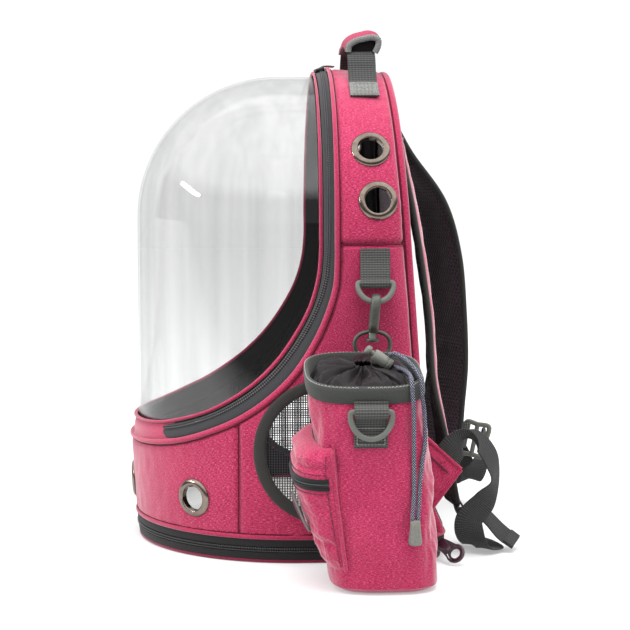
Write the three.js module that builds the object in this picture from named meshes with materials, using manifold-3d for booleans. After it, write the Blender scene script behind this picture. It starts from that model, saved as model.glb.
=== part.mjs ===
// A pet carrier backpack with a clear domed door, standing on the floor, with a treat pouch hooked to
// the ring on its side. Millimetres, +Z up, origin at the middle of the base, dome towards -Y.

import * as THREE from 'three';
import { mergeVertices } from 'three/addons/utils/BufferGeometryUtils.js';
import Module from 'manifold-3d';

const wasm = await Module();
wasm.setup();

// Driving dimensions
const GAP = 0.3;
const WALL = 2.5;
const HALF_WIDTH = 150;
const ARCH_Z = 276;
const FRONT_CENTRE_Y = 18;
const BACK_CORNER_R = 25;
const BODY_TOP = 440;
const SIDE_SEAM_Z = 275;
const FRONT_SEAM_Y = -37;
const BACK_PANEL_THICK = 3;
const BACK_PIPING_WIDTH = 7;
const BASE_THICK = 3;
const BASE_ZIP = { low: 3.3, high: 20.7 };
const UPPER_PIPING = { low: 21, high: 24.7 };
const PANEL_FOOT_Z = 25;
const FLOOR_PAD = { thick: 22, inset: 14 };

const DOME_R = 128;
const DOME_THICK = 2;
const DOME_CENTRE = { y: 2, z: 291 };
const DOME_TUCK = 5;

const EYELET = { outer: 17, bore: 11, barrel: 12.5, depth: 6, proud: 2 };
const UPPER_EYELETS = [{ tag: 'a', y: 77, angle: 32 }, { tag: 'b', y: 82, angle: 14 }];
const FRONT_EYELETS = [
  { name: 'vent_front', angle: 0, z: 50 },
  { name: 'vent_front_right', angle: 51, z: 53 },
  { name: 'vent_front_left', angle: -51, z: 53 },
];

const WINDOW = { y: 39, z: 98, hole: 58, net: 57.6, bindingIn: 53.5, bindingOut: 63, netThick: 1 };

const WEB = { width: 25, thick: 1.8 };
const HANDLE_Y = 75.5;
const GRIP = { half: 44, width: 30, height: 15, slot: 11 };

const STRAP_THICK = 11;

const SIDE_Y = 79;
const RING_R = 2.1;
const SIDE_BAR = { x: 156.5, z: 243 };
const SIDE_RING = { halfWidth: 15, drop: 16.5, lean: 7 / 17 };
const HOOK = { halfWidth: 6, bottom: 203, r: 2.2, flange: 6, barrel: 3.6, foot: 194 };
const SNAP_RING = { y: 76, halfWidth: 15, drop: 11, r: 2, top: 191.6 };

const POUCH = { rimZ: 176, slope: 0.17, wall: 2.5, power: 3.2, sides: 20 };
const POUCH_TAB = { y: 66, width: 27, barX: 271.6, barZ: 150 };
const POUCH_RING = { halfWidth: 16.6, drop: 21 };
const POCKET = { bulge: 18, thick: 2, from: -32, to: -144, low: 0.115, high: 0.71, zip: 0.718, zipHalf: 0.05 };
const CORD_R = 1.8;
const LOCK = { at: [220, 79, 185.7], along: [0, 0.82, -0.57], r: 5, length: 17, bore: 2.7, press: 3 };

// Outline of the body in plan: a round front, straight sides and a back with rounded corners.
// One row for each height; inset draws the whole outline in, back is where the back edge lies.
const BODY_ROWS = [
  { z: -1, inset: 6.5, back: 138.5 },
  { z: 26, inset: 3.5, back: 143 },
  { z: 44, inset: 2, back: 134 },
  { z: 60, inset: 0.8, back: 132 },
  { z: 115, inset: 0, back: 125 },
  { z: 275, inset: 0, back: 112 },
  { z: BODY_TOP, inset: 0, back: 97 },
];

// The door's band in side view, from below the arch to the front. The outer seam (outerY, outerZ)
// lies on the body and the rim (rimY, rimZ) on the dome.
const BAND_ROWS = [
  { outerY: 50, outerZ: 258, rimY: 33, rimZ: 268 },
  { outerY: 48.7, outerZ: 238, rimY: 30.5, rimZ: 245 },
  { outerY: 42, outerZ: 215, rimY: 23.5, rimZ: 221 },
  { outerY: 31, outerZ: 190, rimY: 10, rimZ: 196 },
  { outerY: 12, outerZ: 161, rimY: -6, rimZ: 174 },
  { outerY: -12, outerZ: 138, rimY: -24, rimZ: 156 },
  { outerY: -37, outerZ: 121, rimY: -43, rimZ: 142 },
  { outerY: -60, outerZ: 110, rimY: -62, rimZ: 131 },
  { outerY: -82, outerZ: 101, rimY: -82, rimZ: 123 },
  { outerY: -103, outerZ: 95, rimY: -101, rimZ: 117 },
  { outerY: -120.5, outerZ: 91.7, rimY: -117, rimZ: 114 },
  { outerY: -129, outerZ: 91.1, rimY: -126, rimZ: 113.2 },
];
const BAND_TOP = { outerY: 50, rimY: 33 };
const BAND_FRONT = { outerZ: 91, rimZ: 113 };
const SEAM_ROOM = 1.1;
const ARCH_STEPS = 7;

// Shares of the band's width, from the outer seam (0) to the dome's rim (1).
const BAND = {
  outerPiping: { from: 0.02, to: 0.27, thick: 5 },
  tape: { from: 0.29, to: 0.8, thick: 1.8, plain: true },
  coil: { from: 0.5, to: 0.7, thick: 2, lift: 2.6, plain: true },
  innerPiping: { from: 0.82, to: 0.94, thick: 3 },
};

const v3 = (x, y, z) => new THREE.Vector3(x, y, z);
const deg = THREE.MathUtils.degToRad;

// Meshes and solids

// Turns the triangles of a closed mesh so that they all face outwards.
function facingOut(position, index) {
  const corner = (i) => v3().fromArray(position, 3 * index[i]);
  let volume = 0;
  for (let i = 0; i < index.length; i += 3) {
    volume += corner(i).dot(corner(i + 1).cross(corner(i + 2)));
  }
  return volume < 0 ? Array.from(index).reverse() : Array.from(index);
}

function closedGeometry(points, triangles) {
  const position = new Float32Array(points.flatMap((p) => [p.x, p.y, p.z]));
  const geometry = new THREE.BufferGeometry();
  geometry.setAttribute('position', new THREE.BufferAttribute(position, 3));
  geometry.setIndex(facingOut(position, triangles.flat()));
  return geometry;
}

// Joins rings of equally many points into a skin. A loop closes on its first ring; otherwise both
// ends get a flat cap round the ring's middle.
function skin(rings, loop = false) {
  const n = rings[0].length;
  const points = rings.flat();
  const triangles = [];
  const spans = loop ? rings.length : rings.length - 1;
  for (let i = 0; i < spans; i += 1) {
    const here = i * n;
    const next = ((i + 1) % rings.length) * n;
    for (let j = 0; j < n; j += 1) {
      const k = (j + 1) % n;
      triangles.push([here + j, here + k, next + k], [here + j, next + k, next + j]);
    }
  }
  if (!loop) {
    for (const [start, turn] of [[0, 1], [(rings.length - 1) * n, -1]]) {
      const ring = points.slice(start, start + n);
      const middle = ring.reduce((sum, p) => sum.add(p), v3(0, 0, 0)).divideScalar(n);
      points.push(middle);
      for (let j = 0; j < n; j += 1) {
        const k = (j + 1) % n;
        const [a, b] = turn > 0 ? [start + k, start + j] : [start + j, start + k];
        triangles.push([a, b, points.length - 1]);
      }
    }
  }
  return closedGeometry(points, triangles);
}

// Joins two grids of points, one over the other, into a closed thin wall.
function wallBetween(outer, inner) {
  const n = outer[0].length;
  const far = outer.length * n;
  const triangles = [];
  const quad = (a, b, c, d) => triangles.push([a, b, c], [a, c, d]);
  for (let i = 0; i + 1 < outer.length; i += 1) {
    const row = i * n;
    for (let j = row; j + 1 < row + n; j += 1) {
      quad(j, j + 1, j + 1 + n, j + n);
      quad(far + j, far + j + n, far + j + n + 1, far + j + 1);
    }
    quad(row, row + n, far + row + n, far + row);
    quad(row + 2 * n - 1, row + n - 1, far + row + n - 1, far + row + 2 * n - 1);
  }
  for (let j = 0; j + 1 < n; j += 1) {
    quad(j + 1, j, far + j, far + j + 1);
    const last = far - n + j;
    quad(last, last + 1, far + last + 1, far + last);
  }
  return closedGeometry([...outer.flat(), ...inner.flat()], triangles);
}

function solidOf(geometry) {
  const bare = geometry.clone();
  bare.deleteAttribute('normal');
  bare.deleteAttribute('uv');
  const merged = mergeVertices(bare, 1e-4);
  const position = merged.attributes.position.array;
  return new wasm.Manifold(new wasm.Mesh({
    numProp: 3,
    vertProperties: new Float32Array(position),
    triVerts: new Uint32Array(facingOut(position, merged.index.array)),
  }));
}

function geometryOf(solid) {
  const mesh = solid.getMesh();
  const geometry = new THREE.BufferGeometry();
  const position = new Float32Array(mesh.vertProperties);
  geometry.setAttribute('position', new THREE.BufferAttribute(position, mesh.numProp));
  geometry.setIndex(Array.from(mesh.triVerts));
  return geometry;
}

// Prisms of a flat outline: along X the outline is (y, z), along Y it is (x, z), along Z it is (x, y).
function prism(axis, outline, from, to) {
  const shape = new THREE.Shape(outline.map(([a, b]) => new THREE.Vector2(a, b)));
  const geometry = new THREE.ExtrudeGeometry(shape, { depth: to - from, bevelEnabled: false });
  const turns = {
    X: new THREE.Matrix4().makeBasis(v3(0, 1, 0), v3(0, 0, 1), v3(1, 0, 0)).setPosition(from, 0, 0),
    Y: new THREE.Matrix4().makeBasis(v3(1, 0, 0), v3(0, 0, 1), v3(0, -1, 0)).setPosition(0, to, 0),
    Z: new THREE.Matrix4().setPosition(0, 0, from),
  };
  return solidOf(geometry.applyMatrix4(turns[axis]));
}

function box(low, high) {
  const size = high.map((h, i) => h - low[i]);
  const middle = high.map((h, i) => (h + low[i]) / 2);
  return solidOf(new THREE.BoxGeometry(...size).translate(...middle));
}

const circle = (y, z, r, sides) => Array.from({ length: sides }, (_, i) => {
  const a = (2 * Math.PI * i) / sides;
  return [y + r * Math.cos(a), z + r * Math.sin(a)];
});

// Carries a section along a path. Each path point has a side direction; a section point (a, b) lies
// a along that side and b along the direction square to the side and to the path.
function sweep(path, sides, section, loop = false) {
  const count = path.length;
  const rings = path.map((p, i) => {
    const before = path[loop ? (i + count - 1) % count : Math.max(i - 1, 0)];
    const after = path[loop ? (i + 1) % count : Math.min(i + 1, count - 1)];
    const tangent = after.clone().sub(before).normalize();
    const side = sides[i].clone().addScaledVector(tangent, -sides[i].dot(tangent)).normalize();
    const up = side.clone().cross(tangent);
    return section(i).map(([a, b]) => p.clone().addScaledVector(side, a).addScaledVector(up, b));
  });
  return skin(rings, loop);
}

const flat = (width, thick) => [
  [-width / 2, -thick / 2], [width / 2, -thick / 2], [width / 2, thick / 2], [-width / 2, thick / 2],
];

// A pad's section: flat faces with rounded edges.
const padded = (width, thick) => {
  const w = width / 2;
  const t = thick / 2;
  return [[-w, 0], [-w + t * 0.5, -t * 0.8], [-w + t * 1.6, -t], [w - t * 1.6, -t], [w - t * 0.5, -t * 0.8],
    [w, 0], [w - t * 0.5, t * 0.8], [w - t * 1.6, t], [-w + t * 1.6, t], [-w + t * 0.5, t * 0.8]];
};

const round = (r, sides = 8) => Array.from({ length: sides }, (_, i) => {
  const a = (2 * Math.PI * (i + 0.5)) / sides;
  return [r * Math.cos(a), r * Math.sin(a)];
});

const smooth = (points, steps, loop = false) => {
  const curve = new THREE.CatmullRomCurve3(points, loop, 'centripetal');
  const all = curve.getPoints(steps);
  return loop ? all.slice(0, -1) : all;
};

function lathe(profile, sides) {
  const points = [...profile, profile[0]].map(([r, h]) => new THREE.Vector2(r, h));
  return new THREE.LatheGeometry(points, sides).rotateX(Math.PI / 2);
}

// Places a shape made round +Z so that its axis points along a direction.
function aimed(geometry, at, direction) {
  const turn = new THREE.Quaternion().setFromUnitVectors(v3(0, 0, 1), direction.clone().normalize());
  return geometry.applyQuaternion(turn).translate(at.x, at.y, at.z);
}

// Finishes

const finish = (color, roughness, metalness = 0, extra = {}) => (
  () => new THREE.MeshStandardMaterial({ color, roughness, metalness, ...extra })
);
const pinkCloth = finish(0xd9467a, 0.85);
const pinkPiping = finish(0xc93a6b, 0.8);
const greyWeb = finish(0x55575c, 0.75);
const zipTape = finish(0x46484d, 0.75);
const coilBlack = finish(0x1d1f22, 0.5);
const airMesh = finish(0x2a2026, 0.9);
const greyPlastic = finish(0x6b6d68, 0.5);
const gunmetal = finish(0x6a6560, 0.35, 0.9);
const satin = finish(0x4a434a, 0.45);
const netBlack = finish(0x26262a, 0.8);
const padGrey = finish(0xb8b8b6, 0.9);
const cordNavy = finish(0x5d6070, 0.8);
const clear = finish(0xf2f5f6, 0.05, 0, { transparent: true, opacity: 0.25 });
const pullPlum = finish(0x2c1119, 0.25);

const carrier = new THREE.Group();

function add(name, geometry, material) {
  const mesh = new THREE.Mesh(geometry, material());
  mesh.name = name;
  carrier.add(mesh);
}

// Body shell: the lofted plan, cut by the arch over the top and by the door's seam.

const mix = (rows, key, z) => {
  const next = Math.max(1, rows.findIndex((row) => row.z >= z));
  const [a, b] = [rows[next - 1], rows[next]];
  return a[key] + ((b[key] - a[key]) * (z - a.z)) / (b.z - a.z);
};

function planRing(row, offset) {
  const r = HALF_WIDTH - row.inset - offset;
  const corner = BACK_CORNER_R - offset;
  const back = row.back - offset - corner;
  const ring = [];
  const arc = (x, y, radius, from, to, steps) => {
    for (let i = 0; i <= steps; i += 1) {
      const a = deg(from + ((to - from) * i) / steps);
      ring.push(v3(x + radius * Math.cos(a), y + radius * Math.sin(a), row.z));
    }
  };
  arc(0, FRONT_CENTRE_Y, r, 0, -180, 18);
  arc(-r + corner, back, corner, 180, 90, 3);
  arc(r - corner, back, corner, 90, 0, 3);
  return ring;
}

const slab = (low, high, offset) => solidOf(skin([low, high].map((z) => planRing({
  z, inset: mix(BODY_ROWS, 'inset', z), back: mix(BODY_ROWS, 'back', z),
}, offset))));

const archOutline = (offset, centreZ, r, reach) => {
  const outline = [[-reach, -20], [reach, -20], [reach, centreZ]];
  for (let i = 0; i <= 18; i += 1) {
    const a = (Math.PI * i) / 18;
    outline.push([(r - offset) * Math.cos(a), centreZ + (r - offset) * Math.sin(a)]);
  }
  return [...outline, [-reach, centreZ]];
};

const bodySolid = (offset) => solidOf(skin(BODY_ROWS.map((row) => planRing(row, offset))))
  .intersect(prism('Y', archOutline(offset, ARCH_Z, HALF_WIDTH, 190), -200, 200));

const behind = (distance) => prism('X', [
  ...BODY_ROWS.map((row) => [row.back - distance, row.z * 1.05 - 1]), [220, BODY_TOP * 1.05], [220, -3],
], -200, 200);

// Door band: two closed curves, the outer seam on the body and the rim on the dome.

const RIM_R = DOME_R + 2.4;
const onPlan = (y, r, centreY) => (y < centreY ? Math.sqrt(r * r - (y - centreY) ** 2) : r);

function bandLoop(key) {
  const outer = key === 'outer';
  const r = outer ? HALF_WIDTH : RIM_R;
  const centre = outer ? { y: FRONT_CENTRE_Y, z: ARCH_Z } : DOME_CENTRE;
  const half = [];
  for (let i = 0; i <= ARCH_STEPS; i += 1) {
    const a = (Math.PI / 2) * (i / ARCH_STEPS);
    half.push(v3(r * Math.sin(a), BAND_TOP[`${key}Y`], centre.z + r * Math.cos(a)));
  }
  for (const row of BAND_ROWS) {
    half.push(v3(onPlan(row[`${key}Y`], r, centre.y), row[`${key}Y`], row[`${key}Z`]));
  }
  half.push(v3(0, centre.y - r, BAND_FRONT[`${key}Z`]));
  const other = half.slice(1, -1).reverse().map((p) => v3(-p.x, p.y, p.z));
  return new THREE.CatmullRomCurve3([...half, ...other], true, 'centripetal');
}

const outerSeam = bandLoop('outer');
const rim = bandLoop('rim');

function bandPiece({ from, to, thick, lift = 0, plain = false }, start, end, steps) {
  const loop = end - start >= 1;
  const places = Array.from({ length: loop ? steps : steps + 1 }, (_, i) => {
    const t = (start + ((end - start) * i) / steps) % 1;
    return { o: outerSeam.getPoint(t), r: rim.getPoint(t), along: outerSeam.getTangent(t) };
  });
  const across = places.map(({ o, r }) => r.clone().sub(o));
  const path = places.map(({ o, along }, i) => {
    const up = across[i].clone().cross(along).normalize();
    return o.clone().addScaledVector(across[i], (from + to) / 2).addScaledVector(up, lift);
  });
  const section = (i) => {
    const w = (across[i].clone().cross(places[i].along).length() * (to - from)) / 2;
    const t = thick / 2;
    const hexagon = [[-w, 0], [-w * 0.7, -t], [w * 0.7, -t], [w, 0], [w * 0.7, t], [-w * 0.7, t]];
    return plain ? flat(2 * w, 2 * t) : hexagon;
  };
  return sweep(path, across, section, loop);
}

const LOOP_STEPS = 40;
const HINGE_STEPS = 3;
const ZIP_END = HINGE_STEPS / LOOP_STEPS;
const ZIP_STEPS = LOOP_STEPS - 2 * HINGE_STEPS;
const HINGE_END = ZIP_END - 0.002;
add('door_piping_outer', bandPiece(BAND.outerPiping, 0, 1, LOOP_STEPS), pinkPiping);
add('door_zip_tape', bandPiece(BAND.tape, 0.5 + ZIP_END, 1.5 - ZIP_END, ZIP_STEPS), zipTape);
add('door_zip_coil', bandPiece(BAND.coil, 0.5 + ZIP_END, 1.5 - ZIP_END, ZIP_STEPS), coilBlack);
add('door_hinge_tongue', bandPiece(BAND.tape, 0.5 - HINGE_END, 0.5 + HINGE_END, 2 * HINGE_STEPS), pinkCloth);
add('door_piping_inner', bandPiece(BAND.innerPiping, 0, 1, LOOP_STEPS), pinkPiping);

// The panels stop short of the seam, by the room that the piping's half width takes.
const seamRoom = (y, z, i, line) => {
  const [y0, z0] = line[Math.max(i - 1, 0)];
  const [y1, z1] = line[Math.min(i + 1, line.length - 1)];
  const reach = SEAM_ROOM / Math.hypot(y1 - y0, z1 - z0);
  return [y - (z1 - z0) * reach, z + (y1 - y0) * reach];
};
const seamLine = [
  [BAND_TOP.outerY, 460], [BAND_TOP.outerY, ARCH_Z],
  ...BAND_ROWS.map((row) => [row.outerY, row.outerZ]), [-180, BAND_FRONT.outerZ],
].map(([y, z], i, line) => seamRoom(y, z, i, line));
const doorSide = prism('X', [...seamLine, [-180, -20], [220, -20], [220, 460]], -200, 200);

const shell = bodySolid(0).subtract(bodySolid(WALL)).intersect(doorSide)
  .subtract(behind(BACK_PANEL_THICK + GAP))
  .subtract(box([-200, -200, -20], [200, 200, PANEL_FOOT_Z]));
const backStrip = behind(BACK_PIPING_WIDTH + BACK_PANEL_THICK);
const panels = shell.subtract(behind(BACK_PIPING_WIDTH + BACK_PANEL_THICK + GAP));

// Round openings in the panels

const FRONT_LEAN = -0.055;
const outward = (angle) => v3(Math.sin(deg(angle)), -Math.cos(deg(angle)), FRONT_LEAN);
const eyeletHoles = [];

function eyelet(name, at, direction) {
  const { outer, bore, barrel, depth, proud } = EYELET;
  const ring = lathe([[bore, -depth + proud], [barrel, -depth + proud], [barrel, 0.4], [outer, 0.4],
    [outer - 1.5, proud], [bore, proud]], 12);
  add(name, geometryOf(solidOf(aimed(ring, at, direction))), gunmetal);
  const drill = new THREE.CylinderGeometry(barrel + 2 * GAP, barrel + 2 * GAP, 40, 12).rotateX(Math.PI / 2);
  eyeletHoles.push(solidOf(aimed(drill, at, direction)));
}

for (const { name, angle, z } of FRONT_EYELETS) {
  const r = HALF_WIDTH - mix(BODY_ROWS, 'inset', z);
  const at = outward(angle).multiplyScalar(r + GAP).setZ(0).add(v3(0, FRONT_CENTRE_Y, z));
  eyelet(name, at, outward(angle));
}
for (const [side, sign] of [['right', 1], ['left', -1]]) {
  for (const { tag, y, angle } of UPPER_EYELETS) {
    const direction = v3(sign * Math.cos(deg(angle)), 0, Math.sin(deg(angle)));
    const at = direction.clone().multiplyScalar(HALF_WIDTH).add(v3(0, y, ARCH_Z));
    eyelet(`vent_upper_${side}_${tag}`, at, direction);
  }
}

const windowPrism = (r, sign) => prism('X', circle(WINDOW.y, WINDOW.z, r, 18), ...(
  sign > 0 ? [100, 200] : [-200, -100]
));
const holes = [...eyeletHoles, windowPrism(WINDOW.hole, 1), windowPrism(WINDOW.hole, -1)];
const drilled = holes.reduce((sum, hole) => sum.subtract(hole), panels);

const half = GAP / 2;
const everywhere = [[-220, -220, -20], [220, 220, 460]];
const part = (low, high) => geometryOf(drilled.intersect(box(
  everywhere[0].map((v, i) => low[i] ?? v),
  everywhere[1].map((v, i) => high[i] ?? v),
)));
add('gusset_upper', part([null, null, SIDE_SEAM_Z + half], []), pinkCloth);
add('side_panel_right', part([0, FRONT_SEAM_Y + half], [null, null, SIDE_SEAM_Z - half]), pinkCloth);
add('side_panel_left', part([null, FRONT_SEAM_Y + half], [0, null, SIDE_SEAM_Z - half]), pinkCloth);
add('front_panel', part([], [null, FRONT_SEAM_Y - half]), pinkCloth);
add('back_piping', geometryOf(shell.intersect(backStrip)), pinkPiping);
const foot = box([-200, -200, -20], [200, 200, PANEL_FOOT_Z]);
add('back_panel', geometryOf(bodySolid(0).intersect(behind(BACK_PANEL_THICK)).subtract(foot)), airMesh);

for (const [side, sign] of [['right', 1], ['left', -1]]) {
  const net = bodySolid(0.5).subtract(bodySolid(0.5 + WINDOW.netThick));
  add(`window_net_${side}`, geometryOf(net.intersect(windowPrism(WINDOW.net, sign))), netBlack);
  const ring = windowPrism(WINDOW.bindingOut, sign).subtract(windowPrism(WINDOW.bindingIn, sign));
  const raised = bodySolid(-2).subtract(bodySolid(-GAP));
  add(`window_binding_${side}`, geometryOf(raised.intersect(ring)), greyWeb);
}

// Foot: the stiff base, its zip and the pipings above and below it

const footRing = (low, high, outside, inside) => geometryOf(
  slab(low, high, outside).subtract(slab(low - 1, high + 1, inside)),
);
add('base_panel', geometryOf(slab(0, BASE_THICK, 4)), pinkCloth);
add('base_piping_lower', footRing(0, BASE_THICK, 0, 4 - GAP), pinkPiping);
add('base_zip_band', footRing(BASE_ZIP.low, BASE_ZIP.high, 0.5, WALL + 1.5), zipTape);
add('base_piping_upper', footRing(UPPER_PIPING.low, UPPER_PIPING.high, -1.2, WALL), pinkPiping);
const padLow = BASE_THICK + GAP;
add('floor_pad', geometryOf(slab(padLow, padLow + FLOOR_PAD.thick, FLOOR_PAD.inset)), padGrey);

// Clear dome: a round front under a half-sphere, drawn straight back to the rim

function domeSolid(r) {
  const profile = [[0, 40], [r, 40]];
  for (let i = 0; i <= 9; i += 1) {
    const a = (Math.PI * i) / 18;
    profile.push([i === 9 ? 0 : r * Math.cos(a), DOME_CENTRE.z + r * Math.sin(a)]);
  }
  const capsule = solidOf(lathe(profile, 20).translate(0, DOME_CENTRE.y, 0));
  const tunnel = prism('Y', archOutline(0, DOME_CENTRE.z, r, r), DOME_CENTRE.y, 60);
  return capsule.add(tunnel);
}

const domeRegion = prism('X', [
  [BAND_TOP.rimY + DOME_TUCK, 460], [BAND_TOP.rimY + DOME_TUCK, DOME_CENTRE.z],
  ...BAND_ROWS.map((row) => [row.rimY + DOME_TUCK * 0.6, row.rimZ - DOME_TUCK * 0.8]),
  [-180, BAND_FRONT.rimZ - DOME_TUCK], [-180, 460],
], -200, 200);
const domeShell = domeSolid(DOME_R).subtract(domeSolid(DOME_R - DOME_THICK)).intersect(domeRegion);
add('dome', geometryOf(domeShell), clear);

// Top handle: webbing sewn to the gusset at both ends, inside a wrapped grip

const gripTop = (x) => 454 - 6 * (x / GRIP.half) ** 2;
const onArch = (angle) => [151.7 * Math.sin(deg(angle)), ARCH_Z + 151.7 * Math.cos(deg(angle))];
const handleHalf = [[0, gripTop(0)], [20, gripTop(20)], [38, gripTop(38)], [49, 441], [54, 427],
  [61, 416.5], onArch(26.5), onArch(30), onArch(34)];
const handlePath = smooth([
  ...handleHalf.slice(1).reverse().map(([x, z]) => v3(-x, HANDLE_Y, z)),
  ...handleHalf.map(([x, z]) => v3(x, HANDLE_Y, z)),
], 26);
const alongY = (path) => path.map(() => v3(0, 1, 0));
const strip = (path, width = WEB.width, thick = WEB.thick) => (
  sweep(path, alongY(path), () => flat(width, thick))
);
add('handle_webbing', strip(handlePath), greyWeb);
const gripPath = Array.from({ length: 7 }, (_, i) => {
  const x = (GRIP.half - 2) * (i / 3 - 1);
  return v3(x, HANDLE_Y, gripTop(x));
});
const gripRoom = solidOf(strip(handlePath, WEB.width + 1, WEB.thick + 1));
const gripSlot = solidOf(sweep(gripPath.map((p) => v3(p.x * 1.1, p.y, gripTop(p.x) - 6)),
  alongY(gripPath), () => flat(GRIP.slot, 12)));
const gripOuter = solidOf(sweep(gripPath, alongY(gripPath), () => padded(GRIP.width, GRIP.height)));
add('handle_grip', geometryOf(gripOuter.subtract(gripRoom).subtract(gripSlot)), pinkCloth);

// Side ring: a webbing loop sewn into the side seam holds a plastic D, and the snap hook hangs in it

const inXZ = (y, points) => points.map(([x, z]) => v3(x, y, z));
const loopR = RING_R + GAP + WEB.thick / 2 + 0.1;
const { x: barX, z: barZ } = SIDE_BAR;
add('side_tab', strip(inXZ(SIDE_Y, [[151.5, 271], [151.6, 258], [barX - loopR, barZ],
  [barX - loopR * 0.7, barZ - loopR * 0.7], [barX, barZ - loopR], [barX + loopR * 0.7, barZ - loopR * 0.7],
  [barX + loopR, barZ], [157.4, 252], [154.2, 262], [153.9, 270]])), greyWeb);

// A D in the plane of across and down, with its straight bar through the given point.
function dRing(bar, across, down, halfWidth, drop, r) {
  const place = (a, b) => bar.clone().addScaledVector(across, a).addScaledVector(down, b);
  const path = [-0.96, -0.5, 0, 0.5, 0.96].map((a) => place(a * halfWidth, 0));
  for (let i = 0; i <= 8; i += 1) {
    const a = Math.PI * (0.03 + (0.94 * i) / 8);
    path.push(place(halfWidth * Math.cos(a), drop * (0.12 + 0.88 * Math.sin(a))));
  }
  const normal = across.clone().cross(down);
  return sweep(path, path.map(() => normal), () => round(r, 6), true);
}

const yAxis = v3(0, 1, 0);
const hang = v3(SIDE_RING.lean, 0, -1).normalize();
const sideBar = v3(barX, SIDE_Y, barZ);
add('side_d_ring', dRing(sideBar, yAxis, hang, SIDE_RING.halfWidth, SIDE_RING.drop, RING_R), greyPlastic);

const ringFoot = sideBar.clone().addScaledVector(hang, SIDE_RING.drop);
const hookTop = ringFoot.z + RING_R + GAP + HOOK.r;
const hookLoop = [];
for (const [centreZ, from] of [[hookTop - HOOK.halfWidth, 0], [HOOK.bottom + HOOK.halfWidth, 180]]) {
  for (let i = 0; i <= 5; i += 1) {
    const a = deg(from + 36 * i);
    hookLoop.push(v3(ringFoot.x + HOOK.halfWidth * Math.cos(a), SIDE_Y,
      centreZ + HOOK.halfWidth * Math.sin(a)));
  }
}
const hookBow = solidOf(sweep(hookLoop, alongY(hookLoop), () => round(HOOK.r, 6), true));
const hookFoot = solidOf(lathe([[0, HOOK.foot], [HOOK.flange, HOOK.foot], [HOOK.flange, HOOK.foot + 2.5],
  [HOOK.barrel, HOOK.foot + 3.5], [HOOK.barrel, HOOK.bottom], [0, HOOK.bottom]], 10)
  .translate(ringFoot.x, SIDE_Y, 0));
add('snap_hook', geometryOf(hookBow.add(hookFoot)), greyPlastic);

const snapPath = [[-1, -0.3], [-0.9, 0], [0, 0], [0.9, 0], [1, -0.3], [1, -0.7], [0.9, -1], [0, -1],
  [-0.9, -1], [-1, -0.7]].map(([a, b]) => v3(ringFoot.x, SNAP_RING.y + a * SNAP_RING.halfWidth,
  SNAP_RING.top + b * SNAP_RING.drop));
const alongX = (path) => path.map(() => v3(1, 0, 0));
add('snap_ring', sweep(snapPath, alongX(snapPath), () => round(SNAP_RING.r, 6), true), greyPlastic);

// Treat pouch: a leaning soft tube on the floor. One row for each height, as a share of the rim's height.

const POUCH_ROWS = [
  { z: 0, cx: 216.5, cy: 80.6, hx: 41, hy: 39 },
  { z: 0.03, cx: 216.5, cy: 80.2, hx: 46, hy: 44.5 },
  { z: 0.3, cx: 217, cy: 76.2, hx: 47, hy: 46 },
  { z: 0.65, cx: 217.6, cy: 70.4, hx: 48, hy: 46.6 },
  { z: 1.1, cx: 218.1, cy: 61.6, hx: 48.1, hy: 46.6 },
];

function pouchPoint(share, angle, out, rise = 0, spread = 1) {
  const at = (key) => mix(POUCH_ROWS, key, Math.min(share, 1.09));
  const bend = (value) => Math.sign(value) * Math.abs(value) ** (2 / POUCH.power);
  const x = (at('hx') + out) * spread * bend(Math.cos(deg(angle)));
  const y = (at('hy') + out) * spread * bend(Math.sin(deg(angle)));
  return v3(at('cx') + x, at('cy') + y, share * (POUCH.rimZ - POUCH.slope * x) + rise);
}

const pouchRing = (share, out) => Array.from({ length: POUCH.sides }, (_, i) => (
  pouchPoint(share, (360 * i) / POUCH.sides, out)
));
const pouchTube = (shares, out) => solidOf(skin(shares.map((share) => pouchRing(share, out))));
const pouchOuter = pouchTube([0, 0.03, 0.3, 0.65, 1], 0);
const pouchRoom = pouchTube([0.02, 0.05, 0.3, 0.65, 1.05], -POUCH.wall);
add('pouch_body', geometryOf(pouchOuter.subtract(pouchRoom)), pinkCloth);
const binding = pouchTube([0.93, 1.004], 1.8).subtract(pouchTube([0.9, 1.02], GAP));
add('pouch_rim_binding', geometryOf(binding), greyWeb);

// Gathered collar: from inside the rim over soft folds to the drawn neck.
const COLLAR_ROWS = [
  { spread: 0.96, rise: -14, fold: 0 },
  { spread: 0.92, rise: -4, fold: 0.01 },
  { spread: 0.7, rise: 1, fold: 0.05 },
  { spread: 0.36, rise: 1.5, fold: 0.07 },
  { spread: 0.16, rise: 4, fold: 0.04 },
];
const FOLDS = 6;
const collarSkin = (drop) => COLLAR_ROWS.map(({ spread, rise, fold }) => (
  Array.from({ length: FOLDS * 3 }, (_, i) => {
    const angle = (360 * i) / (FOLDS * 3);
    const wave = Math.cos(deg(angle * FOLDS));
    const inset = -POUCH.wall - GAP - drop * 0.4;
    return pouchPoint(1, angle, inset, rise - drop + wave * fold * 30, spread + wave * fold * 0.4);
  })
));
add('pouch_collar', skin([...collarSkin(0), ...collarSkin(1.8).reverse()], true), satin);

const pouchBack = ringFoot.x + 4;
const snapFoot = { x: ringFoot.x, z: SNAP_RING.top - SNAP_RING.drop };
add('pouch_back_tab', strip(inXZ(SNAP_RING.y, [[pouchBack, 148], [pouchBack, 168],
  [snapFoot.x + 3.3, snapFoot.z], [snapFoot.x + 2.3, snapFoot.z + 2.3], [snapFoot.x, snapFoot.z + 3.3],
  [snapFoot.x - 2.3, snapFoot.z + 2.3], [snapFoot.x - 3.3, snapFoot.z], [pouchBack - 3.2, 166],
  [pouchBack - 2.3, 149]])), greyWeb);

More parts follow.
